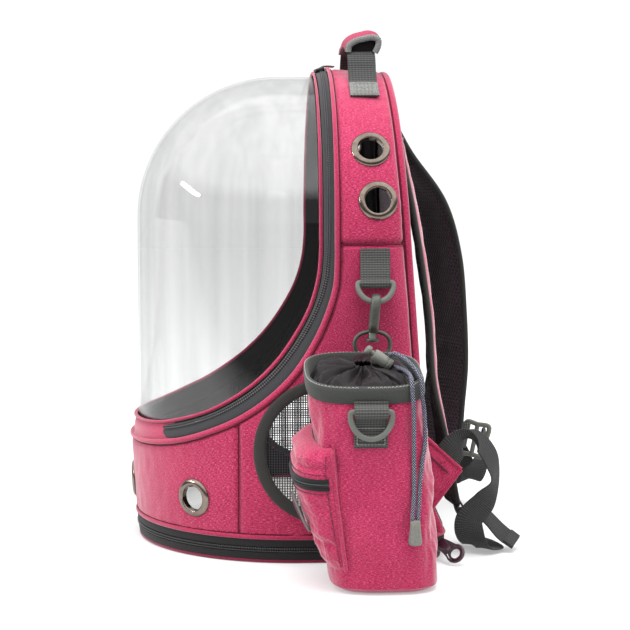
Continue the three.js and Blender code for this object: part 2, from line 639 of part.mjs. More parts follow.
// Front tab with its ring, which hangs free behind the raised webbing
const { barX: tabX, barZ: tabZ } = POUCH_TAB;
add('pouch_tab', strip(inXZ(POUCH_TAB.y, [[269.3, 158.5], [269.4, 155.6], [tabX + 2.4, tabZ + 2.8],
  [tabX + 3.4, tabZ], [tabX + 2.4, tabZ - 2.8], [269.3, 144.5], [267.4, 140], [266.9, 121]]), POUCH_TAB.width),
greyWeb);
add('pouch_d_ring', dRing(v3(tabX, POUCH_TAB.y, tabZ), yAxis, v3(0.05, 0, -1).normalize(),
  POUCH_RING.halfWidth, POUCH_RING.drop, RING_R), greyPlastic);

// Corner pocket: a thin swelling wall with its zip and pull
const POCKET_STEPS = 12;
const pocketAngle = (u) => POCKET.from + (POCKET.to - POCKET.from) * u;
const pocketShare = (v) => POCKET.low + (POCKET.high - POCKET.low) * v;
const swell = (u, v) => POCKET.bulge * (Math.sin(Math.PI * u) ** 0.6) * (Math.sin(Math.PI * v ** 2.2) ** 0.4);
const pocketRow = (v, layer, from = 0) => Array.from({ length: POCKET_STEPS + 1 - 2 * from }, (_, i) => {
  const u = (i + from) / POCKET_STEPS;
  return pouchPoint(pocketShare(v), pocketAngle(u), layer + swell(u, v));
});
const pocketWall = (rows, low, high, from) => wallBetween(
  rows.map((v) => pocketRow(v, high, from)),
  rows.map((v) => pocketRow(v, low, from)),
);
const pocketIn = 0.4;
const pocketOut = pocketIn + POCKET.thick;
add('pouch_pocket', pocketWall([0, 0.06, 0.2, 0.4, 0.6, 0.8, 0.94, 1], pocketIn, pocketOut), pinkCloth);
const zipRows = [POCKET.zip - POCKET.zipHalf, POCKET.zip + POCKET.zipHalf];
add('pocket_zip', pocketWall(zipRows, pocketOut + GAP, pocketOut + 1.6, 1), zipTape);
const pullTop = pouchPoint(pocketShare(0.6), pocketAngle(0.43), pocketOut + 4 + swell(0.43, 0.6));
const pullFoot = pouchPoint(pocketShare(0.3), pocketAngle(0.36), pocketOut + 2 + swell(0.36, 0.3));
add('pocket_zip_pull', sweep(smooth([pullTop, pullTop.clone().lerp(pullFoot, 0.5).add(v3(1.5, -2.5, 0)),
  pullFoot], 6), Array(7).fill(v3(0.8, 0.6, 0)), (i) => flat([3, 5, 6.5, 7, 6.5, 5, 3][i], 2)), greyPlastic);

// Cord lock on the drawn collar: a barrel with a sprung button, and two cord ends through it

const lockAt = v3(...LOCK.at);
const lockAlong = v3(...LOCK.along).normalize();
const lockHalf = LOCK.length / 2;
const barrel = lathe([[0, lockHalf], [LOCK.r - 1, lockHalf], [LOCK.r, lockHalf - 1.5], [LOCK.r, 1.5 - lockHalf],
  [LOCK.r - 1, -lockHalf], [LOCK.bore, -lockHalf], [LOCK.bore, lockHalf - 4], [0, lockHalf - 4]], 10);
add('cord_lock_barrel', geometryOf(solidOf(aimed(barrel, lockAt, lockAlong))), greyPlastic);
const head = -lockHalf - LOCK.press - 0.4;
const button = lathe([[0, head - 4.5], [LOCK.r - 2, head - 4.5], [LOCK.r - 1, head - 3], [LOCK.r - 1, head],
  [LOCK.bore - 0.4, head], [LOCK.bore - 0.4, lockHalf - 8], [0, lockHalf - 8]], 10);
add('cord_lock_button', geometryOf(solidOf(aimed(button, lockAt, lockAlong))), greyPlastic);

// Each strand runs from the barrel over the rim and down the pouch's front corner. Its free places come first,
// then rows of the share of the rim's height, the angle round the pouch, and the distance off its wall.
const CORD_ROUTES = {
  a: {
    over: [[220, 85.3, 189.7], [225, 89.2, 191.2], [233, 95, 188.8], [243, 101, 183.8], [252, 105.3, 178],
      [257.4, 107, 172.4]],
    down: [[0.955, 49.3, 4.6], [0.888, 51, 4.4], [0.728, 47.2, 3.4], [0.65, 39.5, 3], [0.53, 32, 3],
      [0.374, 23.6, 5.2]],
  },
  b: {
    over: [[217.8, 88, 180.1], [222.5, 91.4, 179.4], [233, 95, 179.2], [246, 98, 177.6], [257, 98.6, 176],
      [263.8, 98.8, 172.6]],
    down: [[0.96, 33, 4.6], [0.904, 32.8, 4.4], [0.74, 29, 3.4], [0.616, 26, 3], [0.492, 23.5, 3],
      [0.376, 17.6, 5.2]],
  },
};
const CORD_STEPS = 24;
const cordSection = new THREE.Shape(round(CORD_R, 6).map(([a, b]) => new THREE.Vector2(a, b)));
const cordEnds = [];
for (const [tag, { over, down }] of Object.entries(CORD_ROUTES)) {
  const free = over.map((at) => v3(...at));
  const route = [...free, ...down.map(([share, angle, out]) => pouchPoint(share, angle, out))];
  const path = new THREE.CatmullRomCurve3(route, false, 'centripetal');
  const tube = new THREE.ExtrudeGeometry(cordSection, { steps: CORD_STEPS, extrudePath: path });
  add(`cord_strand_${tag}`, tube, cordNavy);
  cordEnds.push(route.at(-1));
}
const stopperTop = cordEnds[0].clone().add(cordEnds[1]).multiplyScalar(0.5).add(v3(0.6, 0, -GAP - 0.4));
const stopper = lathe([[0, 0], [4, 0], [4.3, -5], [5.5, -16], [4.8, -19], [0, -20]], 10);
add('cord_end', geometryOf(solidOf(aimed(stopper, stopperTop, v3(0, 0.02, 1)))), greyPlastic);

// Shoulder straps: padded bands sewn to the back, a row for each place down the strap.
// turn is the way the width lies, from 0 along X to 90 along Y.

const STRAP_ROWS = {
  right: [
    { x: 48, y: 108.6, z: 384, turn: 0, width: 46 },
    { x: 52, y: 112.5, z: 352, turn: 0, width: 58 },
    { x: 61, y: 121.5, z: 308, turn: 2, width: 62 },
    { x: 69, y: 129.5, z: 258, turn: 4, width: 62 },
    { x: 76, y: 134, z: 206, turn: 5, width: 60 },
    { x: 82, y: 138, z: 150, turn: 6, width: 56 },
    { x: 86, y: 146, z: 96, turn: 8, width: 46 },
    { x: 88, y: 154, z: 44, turn: 8, width: 36 },
  ],
  left: [
    { x: -48, y: 108.6, z: 384, turn: 0, width: 46 },
    { x: -52, y: 120, z: 350, turn: 14, width: 56 },
    { x: -60, y: 138, z: 304, turn: 45, width: 62 },
    { x: -66, y: 147, z: 255, turn: 66, width: 62 },
    { x: -70, y: 152.5, z: 200, turn: 74, width: 60 },
    { x: -72, y: 156, z: 150, turn: 75, width: 57 },
    { x: -72, y: 157, z: 105, turn: 75, width: 50 },
    { x: -70, y: 158.5, z: 70, turn: 74, width: 42 },
  ],
};
const STRAP_STEPS = 14;

function strapGeometry(rows) {
  const path = smooth(rows.map(({ x, y, z }) => v3(x, y, z)), STRAP_STEPS);
  const row = (i) => (i / STRAP_STEPS) * (rows.length - 1);
  const between = (key, i) => {
    const at = Math.min(Math.floor(row(i)), rows.length - 2);
    return THREE.MathUtils.lerp(rows[at][key], rows[at + 1][key], row(i) - at);
  };
  const sides = path.map((_, i) => v3(Math.cos(deg(between('turn', i))), Math.sin(deg(between('turn', i))), 0));
  return sweep(path, sides, (i) => padded(between('width', i), STRAP_THICK));
}

// Wings: cloth triangles at the lower back corners that hold the webbing's sewn end.
const WING = { x: 140, thick: 3, top: [122.4, 110], tip: [155, 80], foot: [129.6, 46] };

// Webbing from each wing to its lock. Each row gives a place and the way the width lies there.
const WEBBING_ROWS = {
  right: [
    { at: [140, 143.7, 92.4], side: [0, 0.735, -0.678] },
    { at: [139, 150, 100], side: [-0.3, 0.7, -0.65] },
    { at: [131, 160, 106], side: [-0.9, 0.3, -0.2] },
    { at: [124, 172, 102], side: [-0.85, 0.5, 0.2] },
    { at: [120, 184, 86], side: [-0.8, 0.55, 0.2] },
    { at: [118, 188, 66], side: [-0.9, 0.4, -0.1] },
    { at: [119, 178, 47], side: [-0.4, 0.72, -0.55] },
    { at: [120, 165, 31], side: [-0.1, 0.85, -0.5] },
    { at: [119, 167, 17], side: [0.25, 0.97, 0] },
    { at: [113, 178, 6], side: [0.8, 0.6, 0] },
    { at: [103, 186, 3.2], side: [0.15, 0.99, 0] },
    { at: [93, 183, 4.2], side: [-0.5, 0.87, 0] },
    { at: [88.3, 174, 8], side: [-0.97, 0.25, 0] },
    { at: [88, 163.4, 14.5], side: [-1, 0, 0] },
  ],
  left: [
    { at: [-140, 143.7, 92.4], side: [0, 0.735, -0.678] },
    { at: [-139.5, 151, 99], side: [0.1, 0.75, -0.65] },
    { at: [-132, 170, 80], side: [0.5, 0.7, -0.5] },
    { at: [-120, 186, 48], side: [0.5, 0.8, -0.3] },
    { at: [-104, 195, 27], side: [0.2, 0.97, 0.1] },
    { at: [-97, 203, 40], side: [-0.2, 0.9, 0.4] },
    { at: [-91, 207.5, 56], side: [-0.5, 0.6, 0.6] },
    { at: [-84.5, 206.7, 66], side: [-0.35, 0.2, 0.9] },
    { at: [-77, 204, 69.7], side: [-0.05, 0.2, 0.98] },
    { at: [-70.2, 201.5, 70], side: [0, 0.2, 0.98] },
  ],
};
const TAIL_ROWS = [
  { at: [89, 167.4, 21], side: [1, 0, 0] },
  { at: [90.5, 171.5, 28], side: [0.98, -0.1, 0] },
  { at: [94, 178, 33], side: [0.9, -0.3, -0.25] },
  { at: [97, 185, 28.5], side: [0.9, -0.3, -0.25] },
  { at: [101, 197, 16], side: [0.88, -0.35, -0.3] },
  { at: [104.5, 209, 7], side: [0.9, -0.35, -0.25] },
];

function webbing(rows, steps) {
  const path = smooth(rows.map(({ at }) => v3(...at)), steps);
  const sides = smooth(rows.map(({ side }) => v3(...side)), steps);
  return sweep(path, sides, () => flat(WEB.width, WEB.thick));
}

// Ladder lock: a plastic frame with two slots, the webbing's width along its bars.
const LADDER = { width: 34, height: 26, thick: 4, bar: 4, slot: 26 };
function ladderLock({ middle, across, up }) {
  const [w, h] = [LADDER.width / 2, LADDER.height / 2];
  const shape = new THREE.Shape([[-w, -h], [w, -h], [w, h], [-w, h]].map((p) => new THREE.Vector2(...p)));
  const slotHeight = (LADDER.height - 3 * LADDER.bar) / 2;
  for (const low of [-h + LADDER.bar, LADDER.bar / 2]) {
    const s = LADDER.slot / 2;
    shape.holes.push(new THREE.Path([[-s, low], [-s, low + slotHeight], [s, low + slotHeight], [s, low]]
      .map((p) => new THREE.Vector2(...p))));
  }
  const plate = new THREE.ExtrudeGeometry(shape, { depth: LADDER.thick, bevelEnabled: false })
    .translate(0, 0, -LADDER.thick / 2);
  const normal = across.clone().cross(up);
  return plate.applyMatrix4(new THREE.Matrix4().makeBasis(across, up, normal).setPosition(middle));
}

// Each lock hangs in a tab of webbing that is sewn into the strap's end.
const LOCKS = {
  right: { middle: v3(88, 163, 20), across: v3(1, 0, 0), up: v3(0, 0, 1), sewn: v3(88, 153, 54) },
  left: {
    middle: v3(-72, 196.5, 71),
    across: v3(0, 0.2, 0.98).normalize(),
    up: v3(-0.35, -0.917, 0.187).normalize(),
    sewn: v3(-70.5, 168, 76),
  },
};
function lockTab({ middle, across, up, sewn }) {
  const normal = across.clone().cross(up).normalize();
  const bar = middle.clone().addScaledVector(up, LADDER.height / 2 - LADDER.bar / 2);
  const round = LADDER.thick / 2 + GAP + WEB.thick / 2 + 0.2;
  const near = Math.sign(sewn.clone().sub(bar).dot(normal)) || 1;
  const place = (n, u) => bar.clone().addScaledVector(normal, n * near).addScaledVector(up, u);
  const path = [sewn, place(round, 3), place(round, -1), place(round * 0.6, -3.6), place(-round * 0.6, -3.6),
    place(-round, -1), place(-round, 4), sewn.clone().lerp(place(-round, 4), 0.5)];
  return sweep(path, path.map(() => across), () => flat(WEB.width, WEB.thick));
}

for (const [side, sign] of [['right', 1], ['left', -1]]) {
  const strap = solidOf(strapGeometry(STRAP_ROWS[side])).add(solidOf(lockTab(LOCKS[side])));
  add(`shoulder_strap_${side}`, geometryOf(strap), airMesh);
  add(`ladder_lock_${side}`, ladderLock(LOCKS[side]), greyPlastic);
  const x = sign * WING.x;
  const wing = prism('X', [WING.foot, WING.tip, WING.top], x - WING.thick / 2, x + WING.thick / 2);
  add(`wing_${side}`, geometryOf(wing), pinkCloth);
  add(`webbing_${side}`, webbing(WEBBING_ROWS[side], 22), greyWeb);
}
add('webbing_tail_right', webbing(TAIL_ROWS, 10), greyWeb);

// Zip sliders on the door's coil at the top of the arch, and the large pull of the base zip

const slider = (length, width, height) => {
  const outline = [[-length / 2, -width / 2], [length / 2, -width / 4], [length / 2, width / 4],
    [-length / 2, width / 2]];
  return prism('Z', outline, 0, height);
};
for (const [tag, x, turn] of [['a', 9, 0], ['b', -9, Math.PI]]) {
  const body = slider(13, 9, 3.5);
  const top = outerSeam.getPoint(0).lerp(rim.getPoint(0), (BAND.coil.from + BAND.coil.to) / 2);
  const geometry = geometryOf(body).rotateZ(turn).translate(x, top.y, top.z + 4);
  add(`door_zip_slider_${tag}`, geometry, coilBlack);
}

const BASE_PULL = { start: [142.5, 137.8, 16], tip: [156.5, 149.5, 9], facing: [1, -0.2, 0.35] };
const pullStart = v3(...BASE_PULL.start);
const pullAlong = v3(...BASE_PULL.tip).sub(pullStart).normalize();
const pullFace = v3(...BASE_PULL.facing);
pullFace.addScaledVector(pullAlong, -pullFace.dot(pullAlong)).normalize();
const eye = { at: 19, r: 4.3, rim: 8.5 };
const pullShape = new THREE.Shape();
pullShape.moveTo(-2, -4.5);
pullShape.lineTo(eye.at - 5, -7);
pullShape.absarc(eye.at, 0, eye.rim, deg(-65), deg(65), false);
pullShape.lineTo(eye.at - 5, 7);
pullShape.lineTo(-2, 4.5);
pullShape.holes.push(new THREE.Path().absarc(eye.at, 0, eye.r, 0, 2 * Math.PI, true));
const pullPlate = new THREE.ExtrudeGeometry(pullShape, { depth: 2.8, bevelEnabled: false, curveSegments: 5 })
  .applyMatrix4(new THREE.Matrix4().makeBasis(pullAlong, pullFace.clone().cross(pullAlong), pullFace)
    .setPosition(pullStart));
const corner = v3(Math.SQRT1_2, Math.SQRT1_2, 0);
const cornerAt = v3(120.9, 116.3, 0);
const sliderBlock = new THREE.BoxGeometry(6, 14, 9).rotateZ(Math.PI / 4)
  .translate(...cornerAt.addScaledVector(corner, 26.6).setZ(12.8));
add('base_zip_pull', geometryOf(solidOf(pullPlate).add(solidOf(sliderBlock))), pullPlum);

export default carrier;
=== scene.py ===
import bpy
import numpy as np
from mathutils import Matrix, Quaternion, Vector


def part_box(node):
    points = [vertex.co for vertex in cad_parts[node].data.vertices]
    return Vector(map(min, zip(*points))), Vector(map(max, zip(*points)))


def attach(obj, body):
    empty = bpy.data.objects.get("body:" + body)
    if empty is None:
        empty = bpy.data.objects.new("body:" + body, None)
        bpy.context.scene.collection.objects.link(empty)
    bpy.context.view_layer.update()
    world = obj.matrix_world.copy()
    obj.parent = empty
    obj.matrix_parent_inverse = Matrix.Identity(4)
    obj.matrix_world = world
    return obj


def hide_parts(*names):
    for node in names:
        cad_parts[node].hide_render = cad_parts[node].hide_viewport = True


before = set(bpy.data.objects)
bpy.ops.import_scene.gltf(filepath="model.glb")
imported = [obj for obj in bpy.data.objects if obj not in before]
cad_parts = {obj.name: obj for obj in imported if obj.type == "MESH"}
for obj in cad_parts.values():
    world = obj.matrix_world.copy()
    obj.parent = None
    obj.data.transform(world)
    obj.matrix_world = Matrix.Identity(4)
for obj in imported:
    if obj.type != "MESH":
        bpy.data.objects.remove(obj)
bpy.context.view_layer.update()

# Body cloth: the arched gusset, two side panels and the curved front.
# Heather polyester on thin foam with a black lining, sewn edge to edge.
HALF, ARCH_Z, FRONT_Y, FOOT_Z = 150, 276, 18, 25
SEAM_Z, FRONT_SEAM_Y, WALL = 275, -37, 2.5
SIDE_CORNER, TOP_CORNER, PIPING_ROOM, TUCK, FOOT_TUCK = 25, 7, 7, 4.5, 1.5
GUSSET_Y, TOP_FALL = 50.4, 0.06
BODY_Z = np.array([-1, 10, 20, 28, 36, 44, 52, 60, 115, 275, 440])
BODY_INSET = np.array([6.5, 5.2, 4.2, 3.3, 2.6, 2, 1.4, 0.8, 0, 0, 0])
BODY_BACK = np.array([138.5, 141.4, 142.8, 142, 138.4, 134.6, 133, 132, 125, 113, 103])
BAND_Y = np.array([50, 48.7, 42, 31, 12, -12, -37, -60, -82, -103, -120.5, -129])
BAND_Z = np.array([258, 238, 215, 190, 161, 138, 121, 110, 101, 95, 91.7, 91.1])
UPPER_EYELETS = [(77, 32), (82, 14)]
FRONT_EYELETS = [(0, 50), (51, 53), (-51, 53)]
EYELET_HOLE, EYELET_SEAT, WINDOW_HOLE, WINDOW_Y, WINDOW_Z = 13.4, HALF - 1, 58.5, 39, 98
SIDES = (("right", 1), ("left", -1))
MIRROR = np.array([-1, 1, 1])


class Shade:
    """A socket in a material's node tree. Arithmetic adds Math nodes and make() adds any other node."""

    def __init__(self, tree, socket):
        self.tree, self.socket = tree, socket

    def make(self, kind, inputs, output=0, **settings):
        """A new node. Its inputs, by name or number, are sockets or plain values."""
        node = self.tree.nodes.new("ShaderNode" + kind)
        for key, value in settings.items():
            setattr(node, key, value)
        for key, value in inputs.items():
            if isinstance(value, Shade):
                self.tree.links.new(value.socket, node.inputs[key])
            else:
                node.inputs[key].default_value = value
        return Shade(self.tree, node.outputs[output])

    def math(self, operation, *values):
        return self.make("Math", dict(enumerate((self, *values))), operation=operation)

    def __add__(self, other):
        return self.math("ADD", other)

    def __sub__(self, other):
        return self.math("SUBTRACT", other)

    def __mul__(self, other):
        return self.math("MULTIPLY", other)

    def __truediv__(self, other):
        return self.math("DIVIDE", other)

    def __rsub__(self, other):
        return self.make("Math", {0: other, 1: self}, operation="SUBTRACT")

    __radd__, __rmul__ = __add__, __mul__

    def clamp(self):
        return self.make("Clamp", {0: self})

    def between(self, low, high):
        """0 below low, 1 above high, straight between them."""
        return ((self - low) / (high - low)).clamp()

    def mix(self, a, b):
        """From a to b. Each is a socket, a linear colour, or a screen colour of three numbers."""
        a, b = (srgb(*c) if isinstance(c, tuple) and len(c) == 3 else c for c in (a, b))
        return self.make("Mix", {0: self, 6: a, 7: b}, output=2, data_type="RGBA")

    def axis(self, which):
        return self.make("SeparateXYZ", {0: self}, output=which)

    def noise(self, scale, detail=2.0):
        """Noise over a coordinate, with a scale in cycles per metre, or one for each direction."""
        u, v = scale if isinstance(scale, tuple) else (scale, scale)
        placed = self.make("Mapping", {"Vector": self, "Scale": (u, v, 1.0)})
        return placed.make("TexNoise", {"Vector": placed, "Scale": 1.0, "Detail": detail})

    def wave(self, pitch):
        """A smooth wave from 0 to 1 along a single coordinate, one turn for each pitch in metres."""
        return (self * (2 * np.pi / pitch)).math("SINE") * 0.5 + 0.5

    def bump(self, height_mm, strength=1.0):
        """A bumped normal. The height in millimetres is what a value of 1 stands for."""
        return self.make("Bump", {"Height": self, "Strength": strength, "Distance": height_mm / 1000})


def material(name, shader):
    """A material. Its shader function takes the UV socket, in metres, and gives Principled BSDF inputs."""
    made = bpy.data.materials.new(name)
    made.use_nodes = True
    tree = made.node_tree
    bsdf = tree.nodes["Principled BSDF"]
    uv = Shade(tree, tree.nodes.new("ShaderNodeTexCoord").outputs["UV"])
    for key, value in shader(uv).items():
        if isinstance(value, Shade):
            tree.links.new(value.socket, bsdf.inputs[key])
        else:
            bsdf.inputs[key].default_value = value
    return made


def srgb(r, g, b):
    """A linear colour from screen values 0 to 255."""
    value = np.array([r, g, b]) / 255
    linear = np.where(value <= 0.04045, value / 12.92, ((value + 0.055) / 1.055) ** 2.4)
    return (*linear.tolist(), 1.0)


def heather(dark, middle, light, sheen=0.5):
    """Woven cloth of mixed yarns: streaks along both threads choose between three colours."""
    def shader(uv):
        weft = uv.noise((420, 2100))
        warp = uv.noise((2100, 560))
        patch = uv.noise(14)
        yarn = weft * 0.6 + warp * 0.4 + (patch - 0.5) * 0.08
        colour = yarn.between(0.5, 0.66).mix(yarn.between(0.34, 0.5).mix(dark, middle), light)
        weave = uv.axis(0).wave(0.0011) * uv.axis(1).wave(0.0011) * 0.5 + weft * 0.6 + warp * 0.5
        return {"Base Color": colour, "Roughness": 0.82 + yarn * 0.1, "Normal": weave.bump(0.35, 0.55),
                "Sheen Weight": sheen, "Sheen Roughness": 0.42, "Specular IOR Level": 0.25}
    return shader


pink_cloth = material("pink_cloth", heather((112, 15, 44), (161, 34, 74), (206, 90, 126)))
lining = material("lining", heather((9, 7, 8), (13, 10, 12), (20, 16, 18), 0.0))


def unit(vectors):
    """Vectors brought to length 1 along the last axis."""
    return vectors / np.maximum(np.linalg.norm(vectors, axis=-1, keepdims=True), 1e-9)


def join(*columns):
    """Coordinates, spread to one shape, as the last axis of one array."""
    return np.stack(np.broadcast_arrays(*columns), -1)


def span_grid(rows, columns):
    """Two parameters over a grid, the first down its rows and the second along its columns."""
    return np.meshgrid(rows, columns, indexing="ij")


def normals(points, wrap=(False, False)):
    """Unit normals of a grid of points, from differences along its columns and rows."""
    def slope(axis):
        if wrap[axis]:
            return np.roll(points, -1, axis) - np.roll(points, 1, axis)
        return np.gradient(points, axis=axis)
    return unit(np.cross(slope(1), slope(0)))


def grid(points, wrap=(False, False), number=0, keep=None, uv=None):
    """A grid of points as vertices, quads, and UVs in metres measured along its rows and columns."""
    rows, columns = points.shape[:2]
    i = np.arange(rows - (not wrap[0]))[:, None]
    j = np.arange(columns - (not wrap[1]))[None, :]
    corners = [(i, j), (i, j + 1), (i + 1, j + 1), (i + 1, j)]
    faces = np.stack([(a % rows) * columns + b % columns for a, b in corners], -1)
    if uv is None:
        steps = [np.linalg.norm(np.roll(points, -1, axis) - points, axis=2).mean(1 - axis)
                 for axis in (0, 1)]
        v, u = [np.concatenate([[0], np.cumsum(step)]) / 1000 for step in steps]
        uv = np.stack(np.broadcast_arrays(u[None, :], v[:, None]), -1)
    loops = np.stack([uv[a, b] for a, b in (np.broadcast_arrays(a, b) for a, b in corners)], -2)
    chosen = np.ones(faces.shape[:2], bool)
    if keep is not None:
        chosen = keep(points.reshape(-1, 3)[faces].mean(2))
    return points.reshape(-1, 3), faces[chosen], loops[chosen], number


def shell(points, thick, wrap=(False, False), inner=0, keep=None):
    """A sheet with thickness: a grid, the same grid moved in along its normals, and the edges between."""
    inside = points - normals(points, wrap) * thick
    parts = [grid(points, wrap, 0, keep), grid(inside[::-1], wrap, inner, keep)]
    if not wrap[0]:
        for a, b in ((inside[:1], points[:1]), (points[-1:], inside[-1:])):
            parts.append(grid(np.concatenate([a, b]), (False, wrap[1]), inner))
    if not wrap[1]:
        for a, b in ((points[:, :1], inside[:, :1]), (inside[:, -1:], points[:, -1:])):
            parts.append(grid(np.concatenate([b, a], 1), (wrap[0], False), inner))
    return parts


def piece(name, parts, materials, slot, *nodes, body="carrier", crease=38):
    """One mesh object from grids in millimetres. It rides on a body and stands for the named CAD nodes."""
    starts = np.cumsum([0] + [len(part[0]) for part in parts])
    points = np.concatenate([part[0] for part in parts]) / 1000
    faces = np.concatenate([part[1] + start for part, start in zip(parts, starts)])
    mesh = bpy.data.meshes.new(name)
    mesh.from_pydata(points.tolist(), [], faces.tolist())
    loops = np.concatenate([part[2].reshape(-1, 2) for part in parts])
    mesh.uv_layers.new(name="UVMap").data.foreach_set("uv", loops.astype(np.float32).ravel())
    numbers = np.concatenate([np.full(len(part[1]), part[3]) for part in parts])
    for made in materials:
        mesh.materials.append(made)
    mesh.polygons.foreach_set("material_index", numbers.astype(np.int32))
    mesh.polygons.foreach_set("use_smooth", np.ones(len(faces), bool))
    mesh.set_sharp_from_angle(angle=np.radians(crease))
    obj = bpy.data.objects.new(name, mesh)
    bpy.context.scene.collection.objects.link(obj)
    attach(obj, body)
    if nodes:
        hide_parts(*nodes)
    return obj


def soft_noise(a, b, wavelength, seed, count=14):
    """A smooth random field from -1 to 1: a sum of waves with random directions near one wavelength."""
    rng = np.random.default_rng(seed)
    turn, phase = rng.uniform(0, 2 * np.pi, (2, count))
    k = 2 * np.pi / (wavelength * rng.uniform(0.7, 1.6, count))
    waves = np.sin(a[..., None] * k * np.cos(turn) + b[..., None] * k * np.sin(turn) + phase)
    return waves.sum(-1) / np.sqrt(2 * count)


def back_edge(z):
    """The Y of the body's back edge at a height, straight between the rows of the table."""
    return np.interp(z, BODY_Z, BODY_BACK)


def hull(y, girth):
    """The body's outer surface. girth climbs the right side as height z, then goes over the arch as an arc.
    The front is a half round, the back edge has a corner radius, and the arch falls to the back."""
    turn = np.maximum(girth - ARCH_Z, 0) / HALF
    z = np.where(turn > 0, ARCH_Z + HALF * np.sin(turn), girth)
    r = HALF - np.interp(z, BODY_Z, BODY_INSET)
    corner = SIDE_CORNER * np.cos(turn) ** 2 + TOP_CORNER * np.sin(turn) ** 2
    into = np.clip(corner - (back_edge(z) - y), 0, corner)
    drop = corner - np.sqrt(corner ** 2 - into ** 2)
    drop += TOP_FALL * np.maximum(y - GUSSET_Y, 0) * np.sin(turn) ** 2
    front = np.minimum(y - FRONT_Y, 0)
    flat = np.sqrt(np.maximum(r ** 2 - front ** 2, 0)) - drop
    x = np.where(turn > 0, (HALF - drop) * np.cos(turn), flat)
    z = np.where(turn > 0, ARCH_Z + (HALF - drop) * np.sin(turn), girth)
    return join(x, y, z)


def seam_dip(distance, depth=2.2, width=2.1):
    """How far cloth sinks towards a seam, from the distance to it. Past the seam it is turned in."""
    return depth * np.exp(-(distance / width) ** 2) + 1.2 * np.maximum(-distance, 0)


def holes(*circles):
    """Keeps the faces outside all spheres (centre, radius)."""
    def keep(middles):
        away = [np.linalg.norm(middles - np.array(centre), axis=-1) > radius for centre, radius in circles]
        return np.all(away, axis=0)
    return keep


def seam_y(z):
    """Where the door's seam runs in side view, for a height on the side."""
    return np.where(z < BAND_Z[6], FRONT_SEAM_Y, np.interp(z, BAND_Z[6::-1], BAND_Y[6::-1]))


z, u = span_grid(np.linspace(FOOT_Z - FOOT_TUCK, SEAM_Z + TUCK, 150), np.linspace(0, 1, 120))
front_y = seam_y(z) + 0.3
back_y = back_edge(z) - PIPING_ROOM
y = front_y - TUCK + u * (back_y - front_y + 2 * TUCK)
side = hull(y, np.minimum(z, ARCH_Z))
side[..., 2] = z
dip = seam_dip(SEAM_Z - z) + seam_dip(y - front_y) + seam_dip(back_y - y)
ripple = 0.5 * soft_noise(y, z, 60, 3) + 0.2 * soft_noise(y, z, 17, 4)
ripple += 0.35 * soft_noise(y, z, 9, 5) * np.exp(-((SEAM_Z - z) / 16) ** 2)
side = side + normals(side) * (ripple - dip)[..., None]
for tag, sign in SIDES:
    cut = holes(((sign * (HALF - 2), WINDOW_Y, WINDOW_Z), WINDOW_HOLE))
    panel = side if sign > 0 else (side * MIRROR)[:, ::-1]
    piece(f"side_panel_{tag}_cloth", shell(panel, WALL, inner=1, keep=cut), [pink_cloth, lining],
          "pink_cloth", f"side_panel_{tag}")

turn, u = span_grid(np.radians(np.linspace(-1.6, 181.6, 280)), np.linspace(0, 1, 52))
arch_back = back_edge(ARCH_Z + HALF * np.sin(turn)) - PIPING_ROOM
y = GUSSET_Y - TUCK + u * (arch_back - GUSSET_Y + 2 * TUCK)
girth = ARCH_Z + HALF * np.clip(turn, 1e-6, np.pi - 1e-6)
foot = HALF * np.minimum(turn, np.pi - turn)
gusset = hull(y, girth)
gusset[..., 2] += np.minimum(foot, 0)
dip = seam_dip(foot) + seam_dip(y - GUSSET_Y, 1.6) + seam_dip(arch_back - y, 2.6)
ripple = 0.45 * soft_noise(y, girth, 55, 6) + 0.18 * soft_noise(y, girth, 15, 7)
gusset = gusset + normals(gusset) * (ripple - dip)[..., None]
eyelet_spots = [(HALF * np.cos(np.radians(a)) * s, y, ARCH_Z + HALF * np.sin(np.radians(a)))
                for y, a in UPPER_EYELETS for s in (1, -1)]
cut = holes(*[(spot, EYELET_HOLE) for spot in eyelet_spots])
piece("gusset_cloth", shell(gusset, WALL, inner=1, keep=cut), [pink_cloth, lining], "pink_cloth",
      "gusset_upper")

edge = np.degrees(np.arccos((FRONT_Y - FRONT_SEAM_Y + 0.3) / HALF))
tucked = edge + np.degrees(TUCK / HALF)
up, angle = span_grid(np.linspace(0, 1, 64), np.radians(np.linspace(-tucked, tucked, 230)))
seam_height = np.interp(HALF * np.cos(angle) - FRONT_Y, -BAND_Y[6:], BAND_Z[6:]) - 1
z = FOOT_Z - FOOT_TUCK + up * (seam_height + TUCK + FOOT_TUCK - FOOT_Z)
r = HALF - np.interp(z, BODY_Z, BODY_INSET)
dip = seam_dip((np.radians(edge) - np.abs(angle)) * HALF) + seam_dip(seam_height - z, 0.9)
r = r + 0.5 * soft_noise(angle * HALF, z, 60, 8) + 0.2 * soft_noise(angle * HALF, z, 18, 9) - dip
front = join(r * np.sin(angle), FRONT_Y - r * np.cos(angle), z)
front_spots = [(EYELET_SEAT * np.sin(np.radians(a)), FRONT_Y - EYELET_SEAT * np.cos(np.radians(a)), z)
               for a, z in FRONT_EYELETS]
cut = holes(*[(spot, EYELET_HOLE) for spot in front_spots])
piece("front_panel_cloth", shell(front, WALL, inner=1, keep=cut), [pink_cloth, lining], "pink_cloth",
      "front_panel")

# Back panel: one flat arched panel of padded spacer mesh that closes the body behind.
# It is sewn to the gusset and sides inside the piping, and the straps are sewn on to it.
PANEL_RECESS, PANEL_SWELL, PANEL_RIM, CHANNEL_Z, CHANNEL_DEEP, CHANNEL_WIDE = 5.2, 1.8, 12, 120, 2.0, 4


